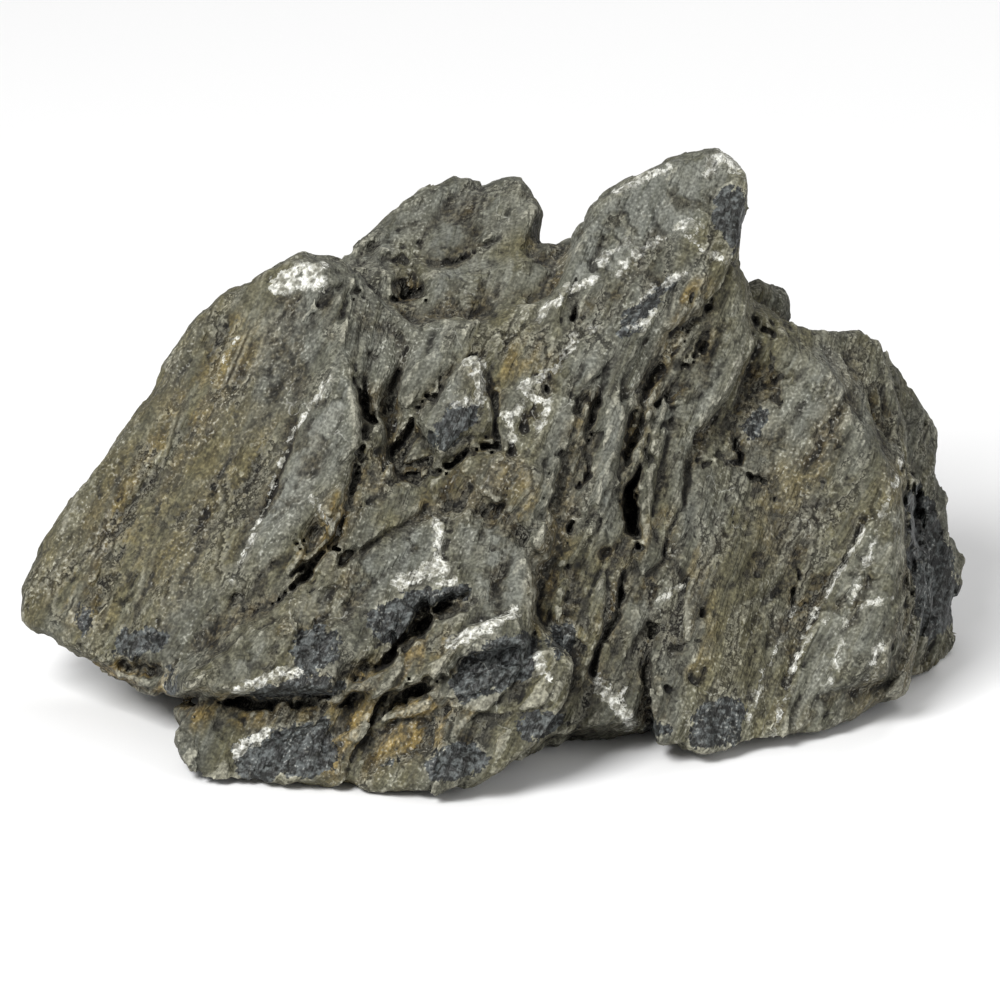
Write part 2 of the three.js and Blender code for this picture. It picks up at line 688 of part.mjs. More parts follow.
function calmShare(x, y) {
  const shares = CALM_AREAS.map((area) => {
    const inside = smoothStep(-CALM_EDGE / 2, CALM_EDGE / 2, -outlineDistance(area.outline, x, y));
    return 1 - (1 - area.left) * inside;
  });
  return Math.min(...shares);
}

function breakIntoFlakes(field, grid) {
  const [nx, ny, nz] = grid.count;
  const calm = faceMap(nx, ny, calmShare);
  for (let i = 0; i < nx; i++) {
    for (let j = 0; j < ny; j++) {
      const [x, y] = [SPACE.low[0] + i * CELL, SPACE.low[1] + j * CELL];
      for (let k = 0; k < nz; k++) {
        const n = (i * ny + j) * nz + k;
        if (Math.abs(field[n]) < FLAKE_BAND) {
          field[n] += roughness(x, y, SPACE.low[2] + k * CELL, calm[i * ny + j]);
        }
      }
    }
  }
}

// Grooves and pits go square into the face, from wherever it is first met.

function cutGrooves(field, grid) {
  const [nx, ny, nz] = grid.count;
  const deep = faceMap(nx, ny, (x, y) => {
    const wx = x + RIM_WANDER * Math.sin(y / 2.3 + 1) * Math.sin(x / 3.1);
    const wy = y + RIM_WANDER * Math.sin(x / 2.7) * Math.cos(y / 3.7 + 2);
    const grooves = GROOVES.map((groove) => grooveDepth(groove.line, wx, wy));
    const pits = PITS.map((pit) => pitDepth(pit, wx, wy));
    return Math.max(...grooves, ...pits);
  });
  const steep = steepness(deep, nx, ny);
  for (let n = 0; n < nx * ny; n++) {
    if (deep[n] < SHALLOWEST_CUT) continue;
    let first = 1;
    while (first < nz && field[n * nz + first] >= 0) first++;
    if (first === nz) continue;
    const [before, after] = [field[n * nz + first - 1], field[n * nz + first]];
    const met = SPACE.low[2] + CELL * (first - after / Math.min(after - before, -1e-6));
    for (let k = 0; k < nz; k++) {
      const depth = SPACE.low[2] + k * CELL;
      field[n * nz + k] = Math.max(field[n * nz + k], (met + deep[n] - depth) / steep[n]);
    }
  }
}

// One 1-2-1 average along each axis.

function soften(field, grid) {
  grid.step.forEach((step, axis) => {
    const old = field.slice();
    for (let n = step; n < grid.size - step; n++) {
      const place = Math.floor(n / step) % grid.count[axis];
      if (place === 0 || place === grid.count[axis] - 1) continue;
      field[n] = (old[n - step] + 2 * old[n] + old[n + step]) / 4;
    }
  });
}

// The stone ends at the ground, and in shallow hollows above it. The grid's own faces are outside.

function setOnGround(field, grid) {
  const [nx, ny, nz] = grid.count;
  for (let i = 0; i < nx; i++) {
    for (let j = 0; j < ny; j++) {
      for (let k = 0; k < nz; k++) {
        const n = (i * ny + j) * nz + k;
        const [x, y, z] = toGround([i, j, k].map((place, axis) => SPACE.low[axis] + place * CELL));
        const onRim = [i, j, k].some((place, axis) => place === 0 || place === grid.count[axis] - 1);
        field[n] = Math.max(field[n], underside(x, y) - z, onRim ? 1 : -Infinity);
      }
    }
  }
}

// The eight corners of a cell, its twelve edges and its six faces.

const ALL_CORNERS = [0, 1, 2, 3, 4, 5, 6, 7];
const CORNERS = ALL_CORNERS.map((n) => [n >> 2 & 1, n >> 1 & 1, n & 1]);
const CELL_EDGES = [];
for (let a = 0; a < 8; a++) {
  for (const bit of [1, 2, 4]) if (!(a & bit)) CELL_EDGES.push([a, a | bit]);
}
const CELL_FACES = [1, 2, 4].flatMap(
  (bit) => [0, bit].map((side) => ALL_CORNERS.filter((c) => (c & bit) === side)),
);

// True for a pattern of corners in the stone that has more than one inside or outside group.

function isTangled(pattern) {
  const groups = (members) => {
    const left = new Set(members);
    let count = 0;
    while (left.size) {
      const stack = [left.values().next().value];
      left.delete(stack[0]);
      count++;
      while (stack.length) {
        const c = stack.pop();
        for (const bit of [1, 2, 4]) if (left.delete(c ^ bit)) stack.push(c ^ bit);
      }
    }
    return count;
  };
  const has = (c) => pattern >> c & 1;
  const checkered = CELL_FACES.some(
    ([a, b, c, d]) => has(a) === has(d) && has(b) === has(c) && has(a) !== has(b),
  );
  const inside = ALL_CORNERS.filter((c) => has(c));
  const outside = ALL_CORNERS.filter((c) => !has(c));
  return checkered || groups(inside) > 1 || groups(outside) > 1;
}

// Moves the weakest values across zero until no cell is tangled, so that the skin never pinches.
// After the first turns only values outside the stone move, so that the turns come to an end.

const MOST_TURNS = 200;
const FREE_TURNS = 8;
const JUST_ACROSS = 0.02;

function untangle(field, grid) {
  const tangled = Array.from({ length: 256 }, (_, pattern) => isTangled(pattern));
  const offset = CORNERS.map(([i, j, k]) => i * grid.step[0] + j * grid.step[1] + k);
  const [nx, ny, nz] = grid.count;
  for (let turn = 0, found = true; found && turn < MOST_TURNS; turn++) {
    found = false;
    for (let i = 0; i < nx - 1; i++) {
      for (let j = 0; j < ny - 1; j++) {
        for (let k = 0; k < nz - 1; k++) {
          const n = i * grid.step[0] + j * grid.step[1] + k;
          const values = offset.map((o) => field[n + o]);
          const pattern = values.reduce((sum, value, c) => sum | (value < 0) << c, 0);
          if (!tangled[pattern]) continue;
          found = true;
          const free = (value) => turn < FREE_TURNS || value >= 0;
          const weight = values.map((value) => (free(value) ? Math.abs(value) : Infinity));
          const weakest = weight.indexOf(Math.min(...weight));
          field[n + offset[weakest]] = values[weakest] < 0 ? JUST_ACROSS : -JUST_ACROSS;
        }
      }
    }
  }
}

// The skin: one point in each cell that the surface crosses, and four of them round each crossed
// grid line, as two triangles.

function takeSkin(field, grid) {
  const [nx, ny, nz] = grid.count;
  const offset = CORNERS.map(([i, j, k]) => i * grid.step[0] + j * grid.step[1] + k);
  const pointOf = new Int32Array(grid.size).fill(-1);
  const points = [];
  for (let i = 0; i < nx - 1; i++) {
    for (let j = 0; j < ny - 1; j++) {
      for (let k = 0; k < nz - 1; k++) {
        const n = i * grid.step[0] + j * grid.step[1] + k;
        const sum = [0, 0, 0];
        let hits = 0;
        for (const [a, b] of CELL_EDGES) {
          const [va, vb] = [field[n + offset[a]], field[n + offset[b]]];
          if (va < 0 === vb < 0) continue;
          const t = va / (va - vb);
          sum.forEach((_, axis) => {
            sum[axis] += CORNERS[a][axis] + t * (CORNERS[b][axis] - CORNERS[a][axis]);
          });
          hits++;
        }
        if (!hits) continue;
        pointOf[n] = points.length;
        points.push([i, j, k].map((place, axis) => SPACE.low[axis] + CELL * (place + sum[axis] / hits)));
      }
    }
  }
  const faces = [];
  for (let i = 1; i < nx - 1; i++) {
    for (let j = 1; j < ny - 1; j++) {
      for (let k = 1; k < nz - 1; k++) {
        const n = i * grid.step[0] + j * grid.step[1] + k;
        for (let axis = 0; axis < 3; axis++) {
          const inside = field[n] < 0;
          if (inside === field[n + grid.step[axis]] < 0) continue;
          const [s1, s2] = [grid.step[(axis + 1) % 3], grid.step[(axis + 2) % 3]];
          const [p, q, r, s] = [n - s1 - s2, n - s2, n, n - s1].map((m) => pointOf[m]);
          if (inside) faces.push([r, q, p], [s, r, p]);
          else faces.push([p, q, r], [p, r, s]);
        }
      }
    }
  }
  return { points: points.map(toGround), faces };
}

// Only the largest connected piece is the stone.

function largestPiece({ points, faces }) {
  const parent = points.map((_, n) => n);
  const find = (n) => {
    while (parent[n] !== n) n = parent[n] = parent[parent[n]];
    return n;
  };
  for (const [a, b, c] of faces) {
    parent[find(a)] = find(b);
    parent[find(b)] = find(c);
  }
  const count = new Map();
  points.forEach((_, n) => count.set(find(n), (count.get(find(n)) ?? 0) + 1));
  const largest = [...count].sort((a, b) => b[1] - a[1])[0][0];
  return { points, faces: faces.filter(([a]) => find(a) === largest) };
}

// Thins the skin by edge collapse. Each point carries the sum of the squared distances to the
// planes of the faces that it stands for, and the cheapest edge goes first. A collapse that would
// pinch the skin or turn a face over is left out.

const LONG_EDGE_COST = 1e-4;
const SLIVER = 0.02;
const LARGEST_TURN = 0.35;
const WELL_SET = 1e-4;
const FARTHEST_SPOT = 1.5;
const NO_GAIN = 1e-12;
const GONE = -1e9;

function thin({ points, faces }, target) {
  const sum = points.map(() => new Float64Array(10));
  const around = points.map(() => new Set());
  const version = new Int32Array(points.length);
  const alive = new Uint8Array(faces.length).fill(1);
  const cross = (a, b, c) => {
    const [ux, uy, uz] = [b[0] - a[0], b[1] - a[1], b[2] - a[2]];
    const [vx, vy, vz] = [c[0] - a[0], c[1] - a[1], c[2] - a[2]];
    return [uy * vz - uz * vy, uz * vx - ux * vz, ux * vy - uy * vx];
  };
  faces.forEach((face, f) => {
    const [a, b, c] = face.map((n) => points[n]);
    const n = cross(a, b, c);
    const length = Math.hypot(...n) || 1;
    const [x, y, z] = n.map((value) => value / length);
    const w = -(x * a[0] + y * a[1] + z * a[2]);
    const plane = [x * x, x * y, x * z, x * w, y * y, y * z, y * w, z * z, z * w, w * w];
    for (const point of face) {
      around[point].add(f);
      for (let m = 0; m < 10; m++) sum[point][m] += plane[m] * length;
    }
  });
  const costAt = (q, [x, y, z]) => q[0] * x * x + q[4] * y * y + q[7] * z * z + q[9]
    + 2 * (q[1] * x * y + q[2] * x * z + q[3] * x + q[5] * y * z + q[6] * y + q[8] * z);
  const matrix = new THREE.Matrix3();
  const best = (a, b) => {
    const q = sum[a].map((value, m) => value + sum[b][m]);
    const [p, r] = [points[a], points[b]];
    const middle = p.map((value, axis) => (value + r[axis]) / 2);
    const choices = [p, r, middle];
    matrix.set(q[0], q[1], q[2], q[1], q[4], q[5], q[2], q[5], q[7]);
    const size = Math.abs(matrix.determinant());
    if (size > WELL_SET * (q[0] + q[4] + q[7]) ** 3) {
      const solved = new THREE.Vector3(-q[3], -q[6], -q[8]).applyMatrix3(matrix.invert()).toArray();
      const away = Math.hypot(...solved.map((value, axis) => value - middle[axis]));
      const length = Math.hypot(...p.map((value, axis) => value - r[axis]));
      if (away < FARTHEST_SPOT * length) choices.unshift(solved);
    }
    let cheapest = choices[0];
    for (const choice of choices) {
      if (costAt(q, choice) < costAt(q, cheapest) - NO_GAIN) cheapest = choice;
    }
    const long = p.reduce((total, value, axis) => total + (value - r[axis]) ** 2, 0);
    const cost = costAt(q, cheapest) + LONG_EDGE_COST * long;
    return { a, b, spot: cheapest, cost, stamp: version[a] + version[b] };
  };
  const heap = [];
  const swap = (i, j) => { [heap[i], heap[j]] = [heap[j], heap[i]]; };
  const push = (item) => {
    let i = heap.push(item) - 1;
    while (i > 0 && heap[(i - 1) >> 1].cost > heap[i].cost) {
      swap(i, (i - 1) >> 1);
      i = (i - 1) >> 1;
    }
  };
  const pop = () => {
    const top = heap[0];
    const last = heap.pop();
    if (heap.length) heap[0] = last;
    for (let i = 0; ;) {
      let least = i;
      for (const child of [2 * i + 1, 2 * i + 2]) {
        if (child < heap.length && heap[child].cost < heap[least].cost) least = child;
      }
      if (least === i) return top;
      swap(i, least);
      i = least;
    }
  };
  const neighbours = (n) => {
    const out = new Set();
    for (const f of around[n]) for (const m of faces[f]) if (m !== n) out.add(m);
    return out;
  };
  points.forEach((_, a) => { for (const b of neighbours(a)) if (b > a) push(best(a, b)); });
  let left = faces.length;
  const turnsOver = (moved, other, spot) => {
    for (const f of around[moved]) {
      if (faces[f].includes(other)) continue;
      const corners = faces[f].map((n) => points[n]);
      const old = cross(...corners);
      const fresh = cross(...faces[f].map((n, m) => (n === moved ? spot : corners[m])));
      const dot = old[0] * fresh[0] + old[1] * fresh[1] + old[2] * fresh[2];
      const size = Math.hypot(...fresh);
      if (size < SLIVER || dot < LARGEST_TURN * Math.hypot(...old) * size) return true;
    }
    return false;
  };
  while (left > target && heap.length) {
    const { a, b, spot, stamp } = pop();
    if (stamp !== version[a] + version[b] || !around[a].size || !around[b].size) continue;
    const nearA = neighbours(a);
    const nearB = neighbours(b);
    if (!nearA.has(b)) continue;
    const shared = [...nearA].filter((n) => nearB.has(n));
    if (shared.length !== 2 || shared.some((n) => neighbours(n).size < 4)) continue;
    if (turnsOver(a, b, spot) || turnsOver(b, a, spot)) continue;
    points[a] = spot;
    for (let m = 0; m < 10; m++) sum[a][m] += sum[b][m];
    for (const f of [...around[b]]) {
      if (faces[f].includes(a)) {
        for (const n of faces[f]) around[n].delete(f);
        alive[f] = 0;
        left--;
      } else {
        faces[f] = faces[f].map((n) => (n === b ? a : n));
        around[a].add(f);
        around[b].delete(f);
      }
    }
    version[a]++;
    version[b] = GONE;
    for (const n of neighbours(a)) version[n]++;
    for (const n of neighbours(a)) {
      push(best(a, n));
      for (const m of neighbours(n)) if (m !== a && n < m) push(best(n, m));
    }
  }
  return { points, faces: faces.filter((_, f) => alive[f]) };
}

// The stone's skin in its own frame, with the middle of its foot at the origin.

function stoneSkin() {
  const grid = makeGrid();
  const [nx, ny] = grid.count;
  const field = new Float64Array(grid.size).fill(FAR_OUTSIDE);
  const raised = faceMap(nx, ny, (x, y) => Math.max(...RAISED_FLAKES.map(
    (flake) => flake.height * smoothStep(0, flake.edge, -outlineDistance(flake.outline, x, y)),
  )));
  for (const slab of SLABS) addSlab(field, grid, slab, raised);
  breakIntoFlakes(field, grid);
  cutGrooves(field, grid);
  soften(field, grid);
  setOnGround(field, grid);
  untangle(field, grid);
  return thin(largestPiece(takeSkin(field, grid)), FACETS);
}

// A closed solid for joining and cutting, from points and faces.

const wasm = await Module();
wasm.setup();

function solidOf({ points, faces }) {
  const used = new Map();
  for (const n of faces.flat()) if (!used.has(n)) used.set(n, used.size);
  return new wasm.Manifold(new wasm.Mesh({
    numProp: 3,
    vertProperties: new Float32Array([...used.keys()].flatMap((n) => points[n])),
    triVerts: new Uint32Array(faces.flat().map((n) => used.get(n))),
  }));
}

// Everything above the ground, as a box whose floor is the ground.

const ROOM = { width: 400, height: 200 };

function aboveGround(width, height) {
  const box = new THREE.BoxGeometry(width, width, height).translate(0, 0, height / 2);
  const corners = box.getAttribute('position');
  const points = [];
  const seen = new Map();
  const faces = [];
  for (let n = 0; n < box.index.count; n++) {
    const corner = new THREE.Vector3().fromBufferAttribute(corners, box.index.getX(n)).toArray();
    if (!seen.has(corner.join())) seen.set(corner.join(), points.push(corner) - 1);
    if (n % 3 === 0) faces.push([]);
    faces.at(-1).push(seen.get(corner.join()));
  }
  return solidOf({ points, faces });
}

function stoneGeometry() {
  const skin = stoneSkin();
  skin.points = skin.points.map(([x, y, z]) => [x - STONE_MIDDLE[0], y - STONE_MIDDLE[1], z - FOOT_TRIM]);
  const mesh = solidOf(skin).intersect(aboveGround(ROOM.width, ROOM.height)).getMesh();
  const geometry = new THREE.BufferGeometry();
  geometry.setAttribute('position', new THREE.BufferAttribute(new Float32Array(mesh.vertProperties), 3));
  geometry.setIndex(new THREE.BufferAttribute(new Uint32Array(mesh.triVerts), 1));
  geometry.computeVertexNormals();
  return geometry;
}

const slate = new THREE.MeshStandardMaterial({
  name: 'slate', color: 0x6b6b5f, roughness: 0.85, metalness: 0, flatShading: true,
});

const stone = new THREE.Mesh(stoneGeometry(), slate);
stone.name = 'stone';

const model = new THREE.Group();
model.name = 'slate_stone';
model.add(stone);

export default model;
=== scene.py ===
import bpy
import numpy as np
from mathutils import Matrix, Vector


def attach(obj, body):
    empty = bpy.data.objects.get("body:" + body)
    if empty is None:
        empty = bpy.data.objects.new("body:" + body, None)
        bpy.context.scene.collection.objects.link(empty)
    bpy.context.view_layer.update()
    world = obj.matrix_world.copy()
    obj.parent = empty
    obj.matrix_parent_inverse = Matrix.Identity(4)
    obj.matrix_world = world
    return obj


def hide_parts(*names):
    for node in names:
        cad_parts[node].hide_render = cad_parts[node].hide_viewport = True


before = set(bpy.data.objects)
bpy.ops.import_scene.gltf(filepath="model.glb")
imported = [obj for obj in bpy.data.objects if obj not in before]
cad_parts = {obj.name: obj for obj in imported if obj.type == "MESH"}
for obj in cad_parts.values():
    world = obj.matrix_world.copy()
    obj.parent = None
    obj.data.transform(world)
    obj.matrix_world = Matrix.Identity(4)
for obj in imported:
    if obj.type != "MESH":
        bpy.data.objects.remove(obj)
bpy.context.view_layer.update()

# The slate is one split and weathered block of thin-bedded grey slate, about 190 mm long.
# Its bulk is slabs that overlap along the bedding and lean back from the eye. They are set out
# square to that leaning face: u to the right, v up the face and w into the stone, in mm.
FACE_LEAN = np.radians(20)
STONE_MIDDLE = (-0.8, 60.79)
FOOT_TRIM = 0.15
CELL = 0.6
SPACE_LOW = (-103, -8, -10)
SPACE_HIGH = (103, 136, 106)
EDGE_ROUNDING = 1.8
SLAB_BLEND = 1.5
THINNEST_SLAB = 6
WORN_BACK = 0.7

# outline on the face, three points of the front and of the back as (u, v, w), how far the edge
# slopes per mm of thickness, and where in the thickness the edge stands out furthest
SLABS = [
    # left shield
    ([
        (-94.5, 42), (-90, 51.5), (-80, 65.5), (-68, 81.5), (-65.5, 86.5), (-60.5, 95),
        (-55.5, 100), (-47.5, 104), (-40.5, 108.5), (-35, 107.5), (-29.5, 105), (-30, 96),
        (-31, 89.5), (-28.5, 84.5), (-27, 79), (-27, 73.5), (-26, 70), (-28, 64), (-29.5, 60),
        (-30.5, 53), (-32, 44), (-40, 32), (-52, 22), (-66.5, 20), (-79, 27), (-88, 33),
        (-93.5, 36),
    ], [(-50, 30, 17.5), (-94, 40, 48), (-40, 105, 44)],
        [(-50, 30, 53), (-94, 40, 62.5), (-40, 105, 73.5)], 0.12, 0.35),
    # shield toe
    ([
        (-67, 20.5), (-65.5, 26.5), (-57, 33), (-47.5, 39), (-40, 41), (-40, 32), (-52, 22),
        (-60, 20),
    ], [(-47.5, 38.5, 16), (-65.5, 24, 21), (-52, 22, 9.5)],
        [(-47.5, 38.5, 48), (-65.5, 24, 48), (-52, 22, 48)], 0.1, 0.3),
    # valley
    ([
        (-35, 107.5), (-31, 107.5), (-24, 110), (-12, 109), (4, 111), (15, 112), (32, 100),
        (24, 80), (16, 60), (12, 32), (-12, 20), (-40, 32), (-50, 40), (-34, 64), (-31, 84),
        (-35, 94),
    ], [(-10, 64, 29), (-30, 102, 49.5), (8, 104, 46.5)],
        [(-10, 64, 80), (-30, 102, 80), (8, 104, 80)], 0.35, 0.45),
    # shoulder
    ([
        (-35.5, 107.5), (-31, 107), (-28, 106), (-23.5, 99), (-17, 95), (-15, 90), (-19.5, 85.5),
        (-22.5, 80), (-23.5, 74), (-26.5, 71), (-31, 74), (-32.5, 80), (-34, 85.5), (-36.5, 90),
        (-38, 100),
    ], [(-32, 100, 40), (-27, 76, 29), (-15, 92, 41)],
        [(-32, 100, 72), (-27, 76, 64), (-15, 92, 72)], 0.15, 0.3),
    # middle plate
    ([
        (-25.5, 101), (-17, 96.5), (-6, 96.5), (5, 99), (9.5, 100), (4, 93), (-4, 87.5),
        (-10.5, 84.5), (-13, 81.5), (-16, 78.5), (-19, 76), (-21, 79.5), (-21, 84), (-19.5, 90),
        (-23, 95.5),
    ], [(-23, 98, 40), (4, 96, 36.5), (-14, 82, 33)],
        [(-23, 98, 72), (4, 96, 64), (-14, 82, 64)], 0.2, 0.3),
    # crack floor
    ([
        (-31, 75), (-23, 77), (-20.5, 72), (-19, 66), (-12, 63.5), (-12, 59), (-20, 54.5),
        (-29.5, 49), (-35.5, 50), (-35, 59), (-33.5, 64), (-31.5, 70),
    ], [(-25.5, 74, 27), (-29.5, 54, 19), (-14, 61, 25)],
        [(-25.5, 74, 56), (-29.5, 54, 56), (-14, 61, 56)], 0.15, 0.3),
    # back peak
    ([
        (-32.5, 106), (-29.5, 110.5), (-24.5, 115.5), (-19, 121), (-14, 123.5), (-10, 125),
        (-7, 124.5), (-4, 123), (0, 124), (4, 124.5), (5.5, 122), (7, 118.5), (7.5, 112.5),
        (6, 100), (-12, 96), (-28, 100),
    ], [(-12, 112, 61), (4, 122, 65.5), (-20, 104, 56)],
        [(-12, 112, 85), (4, 122, 80), (-20, 104, 89.5)], 0.22, 0.35),
    # main fin
    ([
        (-20, 76), (-12, 84), (0, 92), (10, 101.5), (14.5, 111), (17, 114.5), (19, 118.5),
        (25.5, 123), (32.5, 127), (38.5, 129), (43.5, 130), (47, 128), (49, 125), (49.5, 120),
        (48, 113.5), (47.5, 108.5), (40, 100), (30, 91), (20, 80), (11.5, 64), (9, 48),
        (5.5, 50.5), (1, 56), (-6, 62), (-12, 66),
    ], [(40, 126, 48), (12, 60, 19), (0, 90, 33.5)],
        [(40, 126, 65.5), (12, 60, 53), (0, 90, 64)], 0.15, 0.45),
    # fin block
    ([
        (47.5, 110), (49.5, 103), (51, 92), (48, 80), (41, 72), (39, 54), (35, 40), (33.5, 28),
        (30, 13), (20, 11.5), (12, 11.5), (5.5, 13), (1, 20), (2, 36), (4, 48), (6, 64), (14, 80),
        (25, 93), (38, 102),
    ], [(20, 80, 29.5), (20, 32, 20), (38, 60, 31)],
        [(48, 100, 64), (30, 60, 64), (18, 18, 64)], 0.2, 0.45),
    # saddle
    ([
        (-17, 66), (-6, 70), (7, 66), (9, 51), (6, 46), (-6, 51), (-16, 54),
    ], [(-10, 64, 25), (7, 60, 20), (-4, 53, 23)],
        [(-10, 64, 56), (7, 60, 56), (-4, 53, 56)], 0.1, 0.3),
    # upper flake
    ([
        (-64, 21), (-65, 25.5), (-60, 29), (-50, 35.5), (-40, 42), (-31, 49), (-20, 55), (-12, 59),
        (-2, 57.5), (5, 52.5), (6.5, 42), (5, 32), (-6, 30), (-20, 23.5), (-30, 22), (-53.5, 20.5),
    ], [(-40, 32, 9.5), (0, 48, 16), (-31, 48, 19)],
        [(-40, 32, 40), (-4, 52, 40), (-31, 48, 48)], 0.15, 0.45),
    # lower lobe
    ([
        (-66.5, 19.5), (-54, 22), (-30, 24), (-16, 30), (0, 38), (7, 36), (14, 28), (12, 19),
        (6, 12), (0, 7.5), (-6, 4), (-14, 1.5), (-23, 1), (-31, 3), (-40, 4), (-48, 3), (-53, 3),
        (-58, 5), (-61, 9),
    ], [(-23, 1, 1), (-60, 12, 14.5), (0, 28, 9.5)],
        [(-23, 1, 48), (-60, 12, 48), (0, 28, 48)], 0.1, 0.45),
    # right mass
    ([
        (33.5, 60), (38, 74), (46, 94), (51.5, 97), (59, 94), (66, 93), (73, 94), (77, 92),
        (80, 83.5), (81.5, 76), (82, 64), (83.5, 48), (82, 36), (77, 23.5), (70.5, 17), (60, 12),
        (54.5, 9.5), (48.5, 9), (40.5, 10), (31, 11.5), (28, 30), (29.5, 40), (31, 52),
    ], [(54, 10, 25), (38, 60, 33), (78, 40, 46.5)],
        [(54, 10, 72), (60, 80, 83), (78, 40, 80)], 0.06, 0.3),
    # right back
    ([
        (60, 93), (73, 94), (81, 84), (84, 80), (87, 73.5), (88, 64.5), (91, 57.5), (91.5, 53),
        (95, 48), (95, 43), (92.5, 37), (93, 32), (90, 25), (83, 19), (72.5, 17.5), (60, 22),
        (56, 60),
    ], [(88, 48, 78.5), (80, 24, 65.5), (72, 88, 73.5)],
        [(88, 48, 89.5), (80, 24, 91), (72, 88, 81.5)], 0.25, 0.45),
    # knob
    ([
        (49, 101), (50, 103), (52.5, 104), (55, 103.5), (57, 102), (58.5, 100), (58.5, 97.5),
        (57.5, 95), (59.5, 92.5), (60, 80), (48, 80), (47, 94),
    ], [(54, 100, 67), (58, 96, 70.5), (52, 92, 65.5)],
        [(54, 100, 78.5), (58, 96, 78.5), (52, 92, 80)], 0.3, 0.45),
    # core
    ([
        (-74, 40), (-62, 80), (-34, 100), (-10, 115), (4, 111), (20, 112), (40, 118), (47, 103),
        (70, 86), (83, 64), (85, 40), (80, 22), (54, 13), (28, 13), (4, 13), (-40, 13), (-62, 22),
    ], [(0, 60, 48), (-40, 60, 53), (0, 100, 56)],
        [(0, 60, 77), (-60, 60, 69), (0, 110, 73.5)], 0.35, 0.3),
    # back low
    ([
        (-50, 14), (-40, 40), (-24, 60), (-6, 74), (12, 70), (28, 56), (52, 48), (64, 32),
        (70, 13),
    ], [(0, 60, 64), (-40, 60, 64), (0, 100, 64)],
        [(0, 20, 93), (-50, 20, 78.5), (0, 70, 85)], 0.5, 0.2),
    # back rib
    ([
        (-6, 13), (0, 40), (12, 74), (24, 96), (36, 102), (44, 92), (40, 68), (30, 40), (28, 13),
    ], [(0, 60, 64), (-40, 60, 64), (0, 100, 64)],
        [(20, 20, 97.5), (0, 20, 89.5), (28, 96, 80)], 0.25, 0.2),
    # back slip
    ([
        (-70, 22), (-60, 48), (-48, 70), (-34, 84), (-20, 88), (-14, 76), (-20, 56), (-28, 36),
        (-34, 13),
    ], [(-40, 60, 56), (-60, 60, 56), (-40, 100, 56)],
        [(-40, 20, 78.5), (-64, 30, 70.5), (-24, 84, 75)], 0.3, 0.2),
    # back foot
    ([
        (36, 13), (40, 40), (52, 64), (66, 74), (78, 64), (86, 48), (88, 32), (80, 13),
    ], [(60, 60, 64), (40, 60, 64), (60, 40, 64)],
        [(60, 20, 93), (86, 40, 89.5), (60, 70, 83)], 0.3, 0.2),
]


def smooth_max(a, b, reach):
    """The larger of a and b, with the corner between them rounded over the reach."""
    share = np.clip(0.5 + 0.5 * (a - b) / reach, 0, 1)
    return b + (a - b) * share + reach * share * (1 - share)


def nearest_on(start, end, u, v):
    """How far along the line from start to end each (u, v) is nearest, 0 to 1, and the way from it."""
    (au, av), (bu, bv) = start, end
    eu, ev = bu - au, bv - av
    share = np.clip(((u - au) * eu + (v - av) * ev) / (eu * eu + ev * ev), 0, 1)
    return share, u - au - share * eu, v - av - share * ev


def outline_distance(points, u, v):
    """Distance from each (u, v) to a closed outline, negative inside it."""
    nearest = np.full(np.shape(u), 1e9, np.float32)
    inside = np.zeros(nearest.shape, bool)
    for (au, av), (bu, bv) in zip(points, points[1:] + points[:1]):
        _, du, dv = nearest_on((au, av), (bu, bv), u, v)
        nearest = np.minimum(nearest, np.hypot(du, dv))
        if av != bv:
            inside ^= ((av > v) != (bv > v)) & (u < au + (v - av) * (bu - au) / (bv - av))
    return np.where(inside, -nearest, nearest)


def depth_plane(points):
    """The numbers a, b, c of the plane w = a + b u + c v through three (u, v, w) points."""
    rows = np.array([[1, u, v] for u, v, _ in points], float)
    return np.linalg.solve(rows, np.array([w for _, _, w in points], float))


grid_u, grid_v, grid_w = (
    np.arange(low, high + CELL, CELL, dtype=np.float32) for low, high in zip(SPACE_LOW, SPACE_HIGH)
)
face_u, face_v = np.meshgrid(grid_u, grid_v, indexing="ij")

